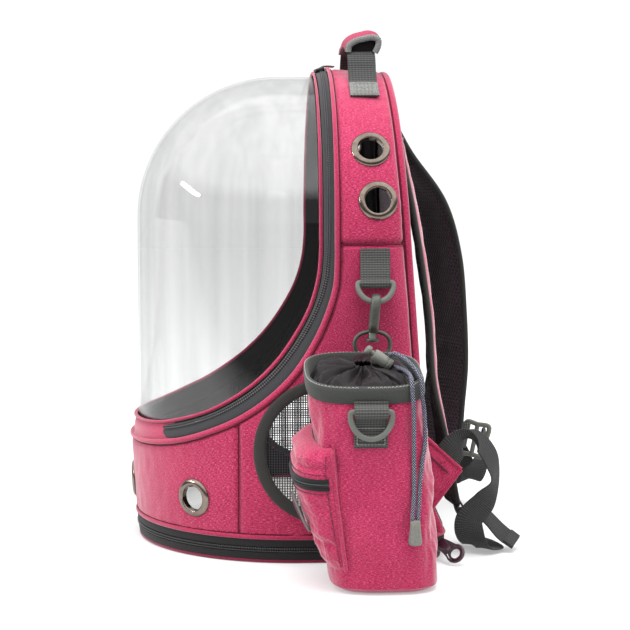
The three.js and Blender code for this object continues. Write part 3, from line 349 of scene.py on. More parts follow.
def air_mesh(dark, light, pitch):
    """Spacer mesh: staggered rows of small dark holes between lighter zig-zag ribs."""
    def shader(uv):
        u, v = uv.axis(0), uv.axis(1)
        shift = (v * (2 * np.pi / (2 * pitch))).math("SINE") * (0.32 * pitch)
        hole = (u + shift).wave(pitch) * v.wave(pitch)
        fuzz = uv.noise(900, 3)
        face = (hole * 0.75 + fuzz * 0.35).between(0.32, 0.75)
        return {"Base Color": face.mix(light, dark), "Roughness": 0.9 - hole * 0.1,
                "Normal": (fuzz * 0.4 - hole).bump(1.1, 0.7), "Sheen Weight": 0.15,
                "Specular IOR Level": 0.2}
    return shader


mesh_cloth = material("air_mesh", air_mesh((14, 9, 12), (62, 46, 55), 0.0042))
across, height = span_grid(np.linspace(-1, 1, 90), np.linspace(0, 1, 130))
half_width, arch_r = HALF - 14.5, HALF - 11
z = FOOT_Z - 1 + height * (ARCH_Z + np.sqrt(arch_r ** 2 - (across * half_width) ** 2) + 1 - FOOT_Z)
foot_inset = np.interp(z, BODY_Z, BODY_INSET)
x = across * (half_width - foot_inset)
rim_room = np.minimum(np.minimum(1 - np.abs(across), 1 - height) * half_width, PANEL_RIM) / PANEL_RIM
quilt = 0.8 * soft_noise(x, z, 90, 11) + PANEL_SWELL * np.sqrt(np.maximum(rim_room, 0)) - PANEL_RECESS
channel = sum(seam_dip(np.abs(away), CHANNEL_DEEP, CHANNEL_WIDE) for away in (x, z - CHANNEL_Z))
back = join(x, back_edge(z) + quilt - channel, z)
piece("back_panel_mesh", shell(back[::-1], 3, inner=1), [mesh_cloth, lining], "air_mesh", "back_panel")

# Back piping: a cord covered in the same cloth along the whole back edge.
# It is sewn between the panels and the back, from foot to foot over the arch.
PIPING_R, PIPING_SINK, SEAM_R, SEAM_SINK, CLIMB_STEPS = 3.4, 2.6, 0.5, 0.7, 70
LINING_ROWS = [(3.2, -9), (8.5, -4), (9, 0), (18, 0.3)]


def sweep(path, side, section, loop=False):
    """A section carried along a path. A section point (a, b) lies a along the side direction, and b square
    to the side and the path."""
    tangent = np.roll(path, -1, 0) - np.roll(path, 1, 0) if loop else np.gradient(path, axis=0)
    tangent = unit(tangent)
    side = np.broadcast_to(np.asarray(side, float), path.shape)
    side = unit(side - tangent * (side * tangent).sum(1, keepdims=True))
    up = np.cross(side, tangent)
    section = np.broadcast_to(section, (len(path), *np.shape(section)[-2:]))
    return path[:, None] + side[:, None] * section[..., :1] + up[:, None] * section[..., 1:]


def rod(path, side, section, loop=False, number=0):
    """A swept solid as a grid, with its ends closed to their middles."""
    rings = sweep(path, side, section, loop)[:, ::-1]
    if not loop:
        ends = [np.broadcast_to(ring.mean(0), ring.shape)[None] for ring in (rings[0], rings[-1])]
        rings = np.concatenate([ends[0], rings, ends[1]])
    return grid(rings, (loop, True), number)


def circle(count):
    """Angles once round, in radians."""
    return np.linspace(0, 2 * np.pi, count, endpoint=False)


def squared(wave, power):
    """A sine or cosine drawn out towards a square: its size to the power, with its sign."""
    return np.sign(wave) * np.abs(wave) ** power


def oval(a, b, count=14, power=2.0):
    """A closed section: a superellipse with half sizes a and b."""
    t = circle(count)
    return join(a * squared(np.cos(t), 2 / power), b * squared(np.sin(t), 2 / power))


pink_piping = material("pink_piping", heather((116, 18, 48), (156, 32, 70), (190, 72, 108)))
girths = np.concatenate([np.linspace(FOOT_Z, ARCH_Z, CLIMB_STEPS)[:-1],
                         ARCH_Z + HALF * np.linspace(0, np.pi, 150)])
heights = np.where(girths > ARCH_Z, ARCH_Z + HALF * np.sin((girths - ARCH_Z) / HALF), girths)


def back_line(room):
    """A line at a distance from the back edge: up the right side, over the arch and down the left."""
    line = hull(back_edge(heights) - room, girths)
    return np.concatenate([line, (line[:CLIMB_STEPS - 1] * MIRROR)[::-1]])


edge_path = back_line(PIPING_R + 2.2)
shrink = 1 - PIPING_SINK / HALF
edge_path[:, 0] *= shrink
edge_path[:, 2] -= np.maximum(edge_path[:, 2] - ARCH_Z, 0) * (1 - shrink)
piece("back_piping_cord", [rod(edge_path, (0, 1, 0), oval(PIPING_R + 0.7, PIPING_R))], [pink_piping],
      "pink_piping", "back_piping")
seam_back = back_line(PIPING_ROOM)
inward = unit(join(-seam_back[:, 0], 0, np.minimum(ARCH_Z - seam_back[:, 2], 0)))
# Painted shade: thin dark rods sunk into the seam grooves stand for the shadow along each seam.
seam_shade = material("seam_shadow", heather((64, 8, 26), (82, 12, 34), (108, 22, 48), 0.0))
seam_shadows = [rod(seam_back + inward * SEAM_SINK + (0, -0.6, 0), (0, 1, 0),
             oval(SEAM_R + 0.3, SEAM_R + 0.3, 8))]
gusset_run = np.linspace(GUSSET_Y, back_edge(SEAM_Z) - PIPING_ROOM, 60)
foot_run = np.linspace(FOOT_Z, BAND_Z[6], 60)
for sign in (1, -1):
    level = hull(gusset_run, np.full(60, SEAM_Z)) * (sign, 1, 1)
    standing = hull(np.full(60, FRONT_SEAM_Y + 0.2), foot_run) * (sign, 1, 1)
    seam_shadows += [rod(line - (sign * SEAM_SINK, 0, 0), (1, 0, 0), oval(SEAM_R, SEAM_R, 8))
              for line in (level, standing)]
piece("panel_seam_shadows", seam_shadows, [seam_shade], "pink_cloth")
back_rim = np.stack([seam_back + inward * deep + (0, shift, 0) for deep, shift in LINING_ROWS], 1)
piece("back_edge_lining", [grid(back_rim)], [lining], "pink_cloth")

# Door band: two pipings with a zip between them, round the whole clear door.
# Its outer seam is sewn to the body and its inner seam holds the clear shell.
DOME_R, RIM_R, DOME_Y, DOME_Z = 128, 130.4, 2, 291
RIM_Y = np.array([33, 30.5, 23.5, 10, -6, -24, -43, -62, -82, -101, -117, -126])
RIM_Z = np.array([268, 245, 221, 196, 174, 156, 142, 131, 123, 117, 114, 113.2])
DOOR_PIPING = {"outer": (0.125, 0.095, 0.4, 2.3), "inner": (0.905, 0.056, 0.2, 1.7)}
ZIP_END, TAPE_MIDDLE, TAPE_HALF, COIL_HALF, END_ROUND, SEAM_SHARE = 3 / 40, 0.53, 0.268, 0.085, 9, 0.006
COIL_RIDGE = np.array([[-1, -0.6], [-0.92, 0.9], [-0.62, 1.7], [-0.3, 1.5], [-0.12, 0.5], [0.12, 0.5],
                       [0.3, 1.5], [0.62, 1.7], [0.92, 0.9], [1, -0.6]])


def door_loop(rows_y, rows_z, r, centre_y, centre_z, top_y, front_z):
    """Points of a ring round the door: from the top down the right side, round the front, and back."""
    a = np.linspace(0, np.pi / 2, 8)
    arch = join(r * np.sin(a), top_y, centre_z + r * np.cos(a))
    x = np.sqrt(r ** 2 - np.minimum(rows_y - centre_y, 0) ** 2)
    half = np.concatenate([arch, join(x, rows_y, rows_z), [[0, centre_y - r, front_z]]])
    return np.concatenate([half, (half[1:-1] * MIRROR)[::-1]])


def along_curve(points, t, loop=True):
    """A centripetal Catmull-Rom curve through points, at shares t of its length in points."""
    count = len(points) if loop else len(points) - 1
    place = np.asarray(t, float) % 1 * count if loop else np.asarray(t, float) * count
    first = np.minimum(np.floor(place).astype(int), count - 1)
    if loop:
        p = [points[(first + k) % count] for k in (-1, 0, 1, 2)]
    else:
        longer = np.concatenate([[2 * points[0] - points[1]], points, [2 * points[-1] - points[-2]]])
        p = [longer[first + k] for k in range(4)]
    gap = [np.maximum(np.linalg.norm(b - a, axis=1, keepdims=True) ** 0.5, 1e-6) for a, b in zip(p, p[1:])]
    leave, arrive = (((p[k + 1] - p[k]) / gap[k] - (p[k + 2] - p[k]) / (gap[k] + gap[k + 1])
                      + (p[k + 2] - p[k + 1]) / gap[k + 1]) * gap[1] for k in (0, 1))
    w = (place - first)[:, None]
    cubic = 2 * p[1] - 2 * p[2] + leave + arrive
    square = 3 * p[2] - 3 * p[1] - 2 * leave - arrive
    return cubic * w ** 3 + square * w ** 2 + leave * w + p[1]


outer_points = door_loop(BAND_Y, BAND_Z, HALF, FRONT_Y, ARCH_Z, 50, 91)
rim_points = door_loop(RIM_Y, RIM_Z, RIM_R, DOME_Y, DOME_Z, 33, 113)


def band(t, shares, heights, wrap=(True, True), number=0):
    """A strip of the door band: shares run from the body's seam to the rim, and heights stand off it."""
    seam = along_curve(outer_points, t)
    over = along_curve(rim_points, t) - seam
    ahead = along_curve(outer_points, t + 1e-4) - along_curve(outer_points, t - 1e-4)
    up = unit(np.cross(over, ahead))
    shares = np.broadcast_to(shares, (len(t), np.shape(shares)[-1]))
    heights = np.broadcast_to(heights, shares.shape)
    points = seam[:, None] + over[:, None] * shares[..., None] + up[:, None] * heights[..., None]
    return points if wrap is None else grid(points, wrap, number)


def distance_along(path):
    """The distance from the start of a path to each of its points."""
    return np.concatenate([[0], np.cumsum(np.linalg.norm(np.diff(path, axis=0), axis=1))])


def twill(dark, light, sheen=0.1):
    """Woven zip tape or webbing: fine slanted ribs with a stipple of lighter yarn."""
    def shader(uv):
        u, v = uv.axis(0), uv.axis(1)
        rib = (u + v).wave(0.0016) * 0.6 + (u - v * 0.5).wave(0.0011) * 0.4
        fuzz = uv.noise(1500)
        tone = (rib * 0.45 + fuzz * 0.8).between(0.3, 0.95)
        return {"Base Color": tone.mix(dark, light), "Roughness": 0.78 + fuzz * 0.15,
                "Normal": (rib * 0.6 + fuzz * 0.5).bump(0.3, 0.6), "Sheen Weight": sheen,
                "Specular IOR Level": 0.3}
    return shader


def coil(dark, light, pitch):
    """Nylon zip coil: turns of a fixed pitch along the length, with a painted highlight on their crowns."""
    def shader(uv):
        turns = uv.axis(1).wave(pitch)
        gloss = uv.noise(300)
        # Painted highlight: the crowns of the turns are lighter in colour.
        return {"Base Color": (turns * 0.7 + gloss * 0.3).between(0.45, 0.95).mix(dark, light),
                "Roughness": 0.34 + gloss * 0.25, "Normal": turns.bump(0.5, 0.8), "Coat Weight": 0.15}
    return shader


zip_tape = material("zip_tape", twill((20, 20, 22), (54, 55, 58), 0.22))
zip_coil = material("zip_coil", coil((14, 14, 15), (104, 105, 107), 0.0021))
ring_t = np.arange(520) / 520
fold = oval(1, 1, 16, 2.6)[::-1]
piece("door_band_lining", [band(ring_t, np.linspace(0.04, 0.96, 8), -2.1, (True, False))], [lining],
      "pink_cloth")
seam_line = band(ring_t, [SEAM_SHARE], 0.1, None)[:, 0]
# Painted shade: a thin dark rod along the door's outer seam stands for the shadow in its groove.
piece("door_seam_shadow", [rod(seam_line, (0, 1, 0.3), oval(SEAM_R, SEAM_R, 8), loop=True)], [seam_shade],
      "pink_cloth")
for tag, (share, half, lift, high) in DOOR_PIPING.items():
    piece(f"door_piping_{tag}_cloth", [band(ring_t, share - half * fold[:, 0], lift + high * fold[:, 1])],
          [pink_piping], "pink_piping", f"door_piping_{tag}")

zip_t = np.linspace(0.5 + ZIP_END, 1.5 - ZIP_END, 560)
run = distance_along(along_curve(outer_points, zip_t))
to_end = np.minimum(run, run[-1] - run)
rounding = np.sqrt(1 - np.clip(1 - to_end / END_ROUND, 0, 0.98) ** 2)[:, None]
lower = np.abs(((zip_t + 0.5) % 1) - 0.5)[:, None]
coil_share = 0.5 + 0.17 * np.clip((lower - 0.17) / 0.12, 0, 1)
across = np.linspace(-1, 1, 13)
tape = TAPE_MIDDLE + TAPE_HALF * across * rounding
tape_faces = [band(zip_t, tape, 0.4 - 0.7 * across ** 4, (False, False)),
              band(zip_t, tape[:, ::-1], -1.4, (False, False))]
piece("door_zip_tape_cloth", tape_faces, [zip_tape], "zip_tape", "door_zip_tape")
coil_turns = band(zip_t, coil_share + COIL_HALF * COIL_RIDGE[:, 0] * rounding, COIL_RIDGE[:, 1],
                  (False, False))
piece("door_zip_coil_turns", [coil_turns], [zip_coil], "zip_black", "door_zip_coil")
tongue_t = np.linspace(0.5 - ZIP_END - 0.012, 0.5 + ZIP_END + 0.012, 90)
crown = 0.8 * np.sin(np.linspace(0, np.pi, 16)) - 0.9
tongue = band(tongue_t, np.linspace(0.18, 0.86, 16), crown, (False, False))
piece("door_tongue_cloth", [tongue], [pink_cloth], "pink_cloth", "door_hinge_tongue")

# Clear dome: one moulded sheet of clear plastic, a round front under a half sphere, drawn back to the rim.
# Its edge is tucked under the inner piping.
DOME_WALL, DOME_TUCK, WELD_M = 2, 4, 0.00015


def clear_sheet(name, tint, edge_tint):
    """Clear plastic: faintly tinted light straight through, darkened in soft upright bands of painted
    reflection, and a gloss that grows at grazing angles.
    """
    made = bpy.data.materials.new(name)
    made.use_nodes = True
    tree = made.node_tree
    out = tree.nodes["Material Output"]
    tree.nodes.remove(tree.nodes["Principled BSDF"])
    start = Shade(tree, tree.nodes.new("ShaderNodeLayerWeight").outputs[1])
    start.socket.node.inputs["Blend"].default_value = 0.5
    place = start.make("TexCoord", {}, output=3)
    wear = place.noise((40, 6), 3)
    # Painted reflection: a noise drawn out upright darkens the light through the sheet in soft vertical
    # bands.
    band_coords = place.make("Mapping", {"Vector": place, "Scale": (55.0, 55.0, 1.5)})
    painted_reflection_bands = band_coords.make("TexNoise", {"Vector": band_coords, "Scale": 1.0, "Detail": 2.0}).between(0.4, 0.7) * 0.28
    veil = (start.math("POWER", 5.0) + painted_reflection_bands).clamp().mix(tint, edge_tint)
    through = start.make("BsdfTransparent", {"Color": veil})
    haze = wear.between(0.3, 0.8) * 0.05 + 0.015
    gloss = start.make("BsdfGlossy", {"Color": (1, 1, 1, 1), "Roughness": haze})
    mixed = start.make("MixShader", {0: start.math("POWER", 4.0) * 0.5 + 0.048, 1: through, 2: gloss})
    tree.links.new(mixed.socket, out.inputs["Surface"])
    return made


clear = clear_sheet("clear_sheet", (0.95, 0.951, 0.952, 1), (0.74, 0.745, 0.75, 1))


def dome_surface(r):
    """The dome as two grids: the round front with the half sphere, and the straight tunnel behind it."""
    theta = np.radians(np.linspace(-90, 90, 121))
    low = np.interp(-(DOME_Y - r * np.cos(theta)), -RIM_Y, RIM_Z) - DOME_TUCK
    rows = np.linspace(0, 1, 40)[:, None]
    wall_z = low + rows * (DOME_Z - low)
    wall = join(r * np.sin(theta), DOME_Y - r * np.cos(theta), wall_z)
    lift = np.radians(np.linspace(0, 89.8, 44))[1:, None]
    cap = join(r * np.sin(theta) * np.cos(lift), DOME_Y - r * np.cos(theta) * np.cos(lift),
               DOME_Z + r * np.sin(lift))
    base = np.interp(-DOME_Y, -RIM_Y, RIM_Z) - DOME_TUCK
    climb = np.linspace(base, DOME_Z, 40)
    turn = np.linspace(0, np.pi, 121)[1:-1]
    x = np.concatenate([np.full(40, r), r * np.cos(turn), np.full(40, -r)])
    z = np.concatenate([climb, DOME_Z + r * np.sin(turn), climb[::-1]])
    end = np.where(z < RIM_Z[0], np.interp(z + 3.5, RIM_Z[::-1], RIM_Y[::-1]), RIM_Y[0]) + 2.5
    y = DOME_Y + np.linspace(0, 1, 14) * np.maximum(end - DOME_Y, 0)[:, None]
    tunnel = join(x[:, None], y, z[:, None])
    return np.concatenate([wall, cap]), tunnel


parts = []
for r, flip in ((DOME_R, 1), (DOME_R - DOME_WALL, -1)):
    parts += [grid(points[::flip]) for points in dome_surface(r)]
dome = piece("dome_shell", parts, [clear], "clear", "dome", crease=80)
dome.modifiers.new("weld", "WELD").merge_threshold = WELD_M

# Vent eyelets: two-part pressed eyelets, antique nickel, four in the gusset and three in the front.
# The flange sits on the cloth and the barrel goes through it.
EYELET_PROFILE = np.array([[11, -4], [10.8, -1], [10.8, 0.6], [11, 1.4], [11.6, 1.9], [12.6, 2.05],
                           [13.8, 1.85], [15, 1.4], [16, 0.75], [16.7, 0], [16.8, -0.4], [16.2, -0.6],
                           [13.2, -0.6], [12.6, -1.2], [12.5, -4]])


def turned(profile, at, direction, count=56, number=0):
    """A ring or knob turned round an axis: profile rows are (radius, height along the direction)."""
    axis = unit(np.asarray(direction, float))
    first = unit(np.cross(axis, (0, 1, 0) if abs(axis[1]) < 0.9 else (1, 0, 0)))
    second = np.cross(axis, first)
    t = circle(count)[None, :, None]
    r, h = profile[:, 0, None, None], profile[:, 1, None, None]
    ring = np.asarray(at) + r * (np.cos(t) * first + np.sin(t) * second) + h * axis
    return grid(ring[::-1], (True, True), number)


def pressed_metal(tint, worn):
    """Antique nickel: fine turning marks and worn brighter patches."""
    def shader(uv):
        marks = uv.noise((30, 2500))
        patch = uv.noise(160, 3)
        wear = patch.between(0.3, 0.75)
        return {"Base Color": wear.mix(tint, worn), "Metallic": 1.0,
                "Roughness": 0.12 + marks * 0.08 + patch * 0.06, "Normal": marks.bump(0.05, 0.4)}
    return shader


nickel = material("antique_nickel", pressed_metal((112, 100, 92), (140, 128, 118)))
for side, sign in SIDES:
    for tag, (y, a) in zip("ab", UPPER_EYELETS):
        way = np.array([sign * np.cos(np.radians(a)), 0, np.sin(np.radians(a))])
        piece(f"eyelet_upper_{side}_{tag}", [turned(EYELET_PROFILE, way * HALF + (0, y, ARCH_Z), way)],
              [nickel], "gunmetal", f"vent_upper_{side}_{tag}", crease=60)
for node, (a, z) in zip(("vent_front", "vent_front_right", "vent_front_left"), FRONT_EYELETS):
    way = np.array([np.sin(np.radians(a)), -np.cos(np.radians(a)), -0.055])
    reach = HALF - np.interp(z, BODY_Z, BODY_INSET) + 0.3
    at = way * (reach, reach, 0) + (0, FRONT_Y, z)
    piece(node.replace("vent", "eyelet"), [turned(EYELET_PROFILE, at, way)], [nickel], "gunmetal", node,
          crease=60)

# Side windows: an open knitted net with a grey woven binding, one on each side.
# The binding is sewn over the edge of the opening.
NET_R, NET_PITCH, NET_HOLE, NET_DEEP = 55, 2.2, np.array([0.6, 0.72]), 1.2
BINDING_R = np.array([52.6, 52.9, 53.8, 55.5, 58, 60.5, 62.2, 63.1, 63.4])
BINDING_LIFT = np.array([-1.6, 0.6, 1.5, 1.9, 2.0, 1.9, 1.5, 0.6, -1.6])


def web_weave(dark, light, rib=0.0021):
    """Flat webbing: ribs across the width, broken into picks by the warp, with a salt-and-pepper yarn."""
    def shader(uv):
        u, v = uv.axis(0), uv.axis(1)
        pick = u.wave(rib * 0.9) * 0.5 + 0.5
        crown = v.wave(rib * 0.8) * pick
        fuzz = uv.noise(1500)
        tone = (crown * 0.5 + fuzz * 0.9).between(0.3, 1.0)
        return {"Base Color": tone.mix(dark, light), "Roughness": 0.72 + fuzz * 0.2,
                "Normal": (crown + fuzz * 0.4).bump(0.4, 0.7), "Sheen Weight": 0.04,
                "Specular IOR Level": 0.3}
    return shader


grey_web = material("grey_webbing", web_weave((24, 24, 25), (98, 99, 97), 0.0026))
grey_binding = material("grey_binding", twill((24, 24, 24), (60, 60, 58)))
rim_binding = material("rim_binding", twill((28, 29, 28), (72, 74, 71)))


def grained(dark, light, scale, rough, bump, cloud=None, detail=3, share=0.4, span=(0.3, 0.7), extra=None):
    """Moulded, cast or knitted stuff: an even grain, mixed with a slow cloud where one has a scale.
    The grain also sets the roughness, as a base and a change, and the bump."""
    def shader(uv):
        grain = uv.noise(scale, detail)
        tone = grain * share + uv.noise(cloud) * (1 - share) if cloud else grain
        return {"Base Color": tone.between(*span).mix(dark, light),
                "Roughness": rough[0] + grain * rough[1], "Normal": grain.bump(*bump), **(extra or {})}
    return shader


net_cloth = material("net", grained((14, 14, 16), (46, 46, 50), 2600, (0.6, 0.2), (0.15, 0.5),
                                    detail=2, span=(0, 1)))


def net_cells():
    """Square cells on a round patch, each a frame between its outline and a smaller upright hole."""
    count = int(NET_R / NET_PITCH) + 1
    i, j = span_grid(np.arange(-count, count + 1), np.arange(-count, count + 1))
    middle = join(i, j).reshape(-1, 2) * NET_PITCH
    middle = middle[np.linalg.norm(middle, axis=1) < NET_R]
    corner = np.array([[1, 1], [-1, 1], [-1, -1], [1, -1]]) * NET_PITCH / 2
    return middle[:, None, None] + np.stack([corner, corner * NET_HOLE])[None]


cells = net_cells()
rings = np.arange(4)
quad = join(rings, (rings + 1) % 4, (rings + 1) % 4 + 4, rings + 4)
flat_net = cells.reshape(-1, 2) + (WINDOW_Y, WINDOW_Z)
net = hull(flat_net[:, 0], flat_net[:, 1]) - (NET_DEEP, 0, 0)
net_uv = flat_net.reshape(-1, 8, 2)[:, quad].reshape(-1, 4, 2) / 1000
net_faces = (np.arange(len(cells))[:, None, None] * 8 + quad).reshape(-1, 4)
t = circle(160)[:, None]
ring = hull(WINDOW_Y + BINDING_R * np.cos(t), WINDOW_Z + BINDING_R * np.sin(t))
ring[..., 0] += BINDING_LIFT + 0.15 * soft_noise(ring[..., 1], ring[..., 2], 8, 21)
for side, sign in SIDES:
    piece(f"window_net_{side}_knit", [(net * (sign, 1, 1), net_faces[:, ::sign], net_uv, 0)], [net_cloth],
          "net", f"window_net_{side}")
    piece(f"window_binding_{side}_tape", [grid((ring * (sign, 1, 1))[:, ::sign], (True, False))],
          [grey_binding], "grey_webbing", f"window_binding_{side}")

# Foot: the stiff base, the zip that lets it drop open, and the pipings above and below that zip.
# The floor pad lies loose inside on the base.


def plan_loop(z, out, count=420):
    """The body's outline at a height, moved out by a distance and sampled at even steps."""
    r = HALF - np.interp(z, BODY_Z, BODY_INSET) + out
    corner = SIDE_CORNER + out
    back = back_edge(z) + out - corner
    def arc(x, y, radius, low, high, steps):
        a = np.radians(np.linspace(low, high, steps))
        return join(x + radius * np.cos(a), y + radius * np.sin(a))
    outline = np.concatenate([arc(0, FRONT_Y, r, 0, -180, 200), arc(corner - r, back, corner, 180, 90, 40),
                              arc(r - corner, back, corner, 90, 0, 40), [[r, FRONT_Y]]])
    run = distance_along(outline)
    even = np.linspace(0, run[-1], count, endpoint=False)
    flat = np.stack([np.interp(even, run, outline[:, k]) for k in (0, 1)], -1)
    return np.column_stack([flat, np.full(count, z)])


def foot_ring(profile, closed=True, number=0):
    """A ring round the foot: profile rows are (height, distance out from the body's outline)."""
    return grid(np.stack([plan_loop(z, out) for z, out in profile], 1), (True, closed), number)


zip_low = [(3.1, -2.5), (3.3, 0.1), (6, 0.5), (9.3, 0.5), (9.6, -0.6)]
zip_mid = [(9.6, -0.6), (10, -0.6), (10.4, 0.9), (11.4, 1.3), (11.9, 0.1), (12.3, 0.1), (12.8, 1.3),
           (13.8, 0.9), (14.2, -0.6), (14.6, -0.6)]
zip_high = [(14.6, -0.6), (14.9, 0.5), (18, 0.5), (20.8, 0.1), (21, -2.5)]
base_coil = material("base_coil", coil((8, 8, 9), (58, 59, 61), 0.0021))
base_tape = material("base_tape", twill((12, 12, 13), (36, 36, 38)))
piece("base_zip_tape", [foot_ring(zip_low, False), foot_ring(zip_mid, False, 1),
                        foot_ring(zip_high, False)], [base_tape, base_coil], "zip_tape", "base_zip_band")


def foot_cord(z, high, wide, out):
    """A round cord round the foot, from its middle height, its half sizes and its distance out."""
    return foot_ring(oval(high, wide) + (z, out))


def slab(rows):
    """A disc or pad: the body's outline at rows of (height, distance out), closed to the middle."""
    loops = [plan_loop(z, out) for z, out in rows]
    ends = [np.broadcast_to(loop.mean(0), loop.shape) for loop in (loops[0], loops[-1])]
    return grid(np.stack([ends[0], *loops, ends[1]])[::-1], (False, True))


piece("base_piping_upper_cord", [foot_cord(22.9, 2.1, 2.2, -0.6)], [pink_piping], "pink_piping",
      "base_piping_upper")
# Painted shade: a thin dark rod along the seam above the upper piping stands for the shadow in its groove.
piece("base_seam_shadow", [foot_cord(25.5, SEAM_R, SEAM_R, 0)], [seam_shade], "pink_cloth")
# Painted shade: the lower base piping is a darker copy of the piping cloth, for the shadow under the base.
low_piping_shaded = material("low_piping_shaded", heather((86, 12, 36), (116, 24, 52), (146, 52, 82)))
piece("base_piping_lower_cord", [foot_cord(1.7, 1.7, 2.2, -1.6)], [low_piping_shaded], "pink_piping",
      "base_piping_lower")
base_rows = [(0.2, -60), (0.2, -20), (0.3, -4.4), (2.4, -4), (2.9, -6), (3, -60)]
piece("base_cloth", [slab(base_rows)], [pink_cloth], "pink_cloth", "base_panel")
fleece = grained((214, 214, 212), (244, 244, 242), 500, (0.95, -0.1), (1.2, 0.8), cloud=60, detail=4,
                 share=0.6, extra={"Sheen Weight": 0.3})
pad_cloth = material("floor_pad", fleece)
pad_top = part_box("floor_pad")[1][2] * 1000
pad_rows = [(3.4, -80), (3.4, -20), (5, -14.8), (pad_top - 5, -14.4), (pad_top - 1.6, -15.6),
            (pad_top - 0.3, -19), (pad_top, -40), (pad_top, -80)]
piece("floor_pad_fleece", [slab(pad_rows)], [pad_cloth], "pad_grey", "floor_pad")

# Top handle: one length of webbing sewn to the gusset at both ends with a boxed cross of stitches.
# A padded cloth wrap with bound ends is folded over it for the hand.
HANDLE_Y, WEB_WIDTH, WEB_THICK = 75.5, 25, 1.8
GRIP_HALF, GRIP_Z, GRIP_FALL, GRIP_WALL, CORE_HALF, CORE_SINK = 42, 454, 6, 2.2, 39.5, 1.8
WEB_R, PATCH_R, STITCH_R = 150.5, 151.9, 152.7
WRAP = np.array([[-11.6, -8.4], [-10.4, -2.4], [-4, 1.8], [3, 3.6], [10, 4.8], [15.2, 2.8], [15.4, -2.6],
                 [12.6, -8.8]])
BOX_CORNERS = [(26.8, -10), (26.8, 10), (33.4, 10), (33.4, -10)]
BOX_LINES = [(0, 1), (1, 2), (2, 3), (3, 0), (0, 2), (3, 1)]


def grip_top(x):
    """The height of the grip's middle: it falls with the square of the distance from the centre."""
    return GRIP_Z - GRIP_FALL * (x / (GRIP_HALF + 2)) ** 2


def on_arch(angle, r=WEB_R):
    """X and Z over the arch, at an angle from its top in degrees."""
    return [r * np.sin(np.radians(angle)), ARCH_Z + r * np.cos(np.radians(angle))]


def strip(path, width=WEB_WIDTH, thick=WEB_THICK, side=(0, 1, 0), number=0):
    """Webbing along a path: a flat section with soft edges."""
    return rod(path, side, oval(width / 2, thick / 2, 28, 5), number=number)


def smooth(points, count):
    """A curve through points, at even steps from end to end."""
    return along_curve(np.asarray(points, float), np.linspace(0, 1, count), loop=False)


def upright(xz, y):
    """Points in an X-Z plane."""
    xz = np.asarray(xz, float)
    return join(xz[:, 0], y, xz[:, 1])


def stitch_rows(lines, across, pitch=3.4, share=0.68, r=0.42):
    """Stitches along lines: short round threads, a little proud. across is the cloth's normal."""
    parts = []
    for line in lines:
        line = np.asarray(line, float)
        run = distance_along(line)
        for start in np.arange(0, run[-1] - pitch * share, pitch):
            at = start + np.linspace(0, 1, 5) * pitch * share
            path = np.stack([np.interp(at, run, line[:, k]) for k in range(3)], -1)
            lift = np.array([-0.4, 0.25, 0.4, 0.25, -0.4])[:, None] * np.asarray(across)
            parts.append(rod(path + lift, across, oval(r, r, 6)))
    return parts


def thread(colour):
    """Twisted thread: its plies cross it on the slant, with painted shade between them."""
    r, g, b, _ = srgb(*colour)

    def shader(uv):
        ply = (uv.axis(0) + uv.axis(1)).wave(0.0007)
        # Painted shade: the colour is darker in the crevices between the plies.
        return {"Base Color": ply.mix((0.6 * r, 0.6 * g, 0.6 * b, 1), colour),
                "Roughness": 0.6 + ply * 0.1, "Normal": ply.bump(0.1, 0.5)}
    return shader


# Painted shade: the adjusting webbing low in the back corners is a darker copy of the grey webbing.
strap_web_shaded = material("strap_webbing_shaded", web_weave((14, 14, 15), (66, 67, 66)))
# Painted shade: the handle's webbing is a darker copy of the grey webbing, against the top light.
handle_web_shaded = material("handle_webbing", web_weave((8, 8, 9), (84, 85, 84), 0.003))
pale_thread = material("pale_thread", thread((150, 150, 147)))
handle_half = np.array([[0, 445.5], [20, 444], [38, 440.5], [47, 434], [53, 424], [60.5, 415.5],
                        on_arch(26.5), on_arch(30), on_arch(34)])
handle_xz = np.concatenate([(handle_half[1:] * (-1, 1))[::-1], handle_half])
handle_path = smooth(upright(handle_xz, HANDLE_Y), 150)
patch_web = material("patch_webbing", web_weave((40, 41, 40), (140, 141, 138), 0.003))
patch_half = np.array([on_arch(angle, PATCH_R) for angle in np.linspace(25.9, 34.4, 9)])
patches = [strip(upright(patch_half * (sign, 1), HANDLE_Y), WEB_WIDTH + 0.6, 1.6, number=1)
           for sign in (1, -1)]
piece("handle_webbing_strip", [strip(handle_path), *patches], [handle_web_shaded, patch_web], "grey_webbing",
      "handle_webbing")
for tag, sign in SIDES:
    spots = [(*on_arch(angle, STITCH_R), HANDLE_Y + over) for angle, over in BOX_CORNERS]
    corners = [(sign * x, y, z) for x, z, y in spots]
    rows = stitch_rows([[corners[i], corners[j]] for i, j in BOX_LINES], np.array([sign * 0.5, 0, 0.866]),
                       2.6)
    piece(f"handle_stitching_{tag}", rows, [pale_thread], "grey_webbing")

wrap_line = smooth(np.column_stack([WRAP, np.zeros(len(WRAP))]), 26)[:, :2]
wrap_way = np.gradient(wrap_line, axis=0)
wrap_up = unit(np.column_stack([-wrap_way[:, 1], wrap_way[:, 0]]))
wrap_section = np.concatenate([wrap_line + GRIP_WALL * wrap_up, (wrap_line - GRIP_WALL * wrap_up)[::-1]])
x = np.linspace(-GRIP_HALF, GRIP_HALF, 40)
sag = 0.5 * soft_noise(x[:, None], np.arange(len(wrap_section))[None] * 1.5, 22, 31)
wrap = join(x[:, None], HANDLE_Y + wrap_section[:, 0],
            grip_top(x)[:, None] + wrap_section[:, 1] + sag * 0.6)
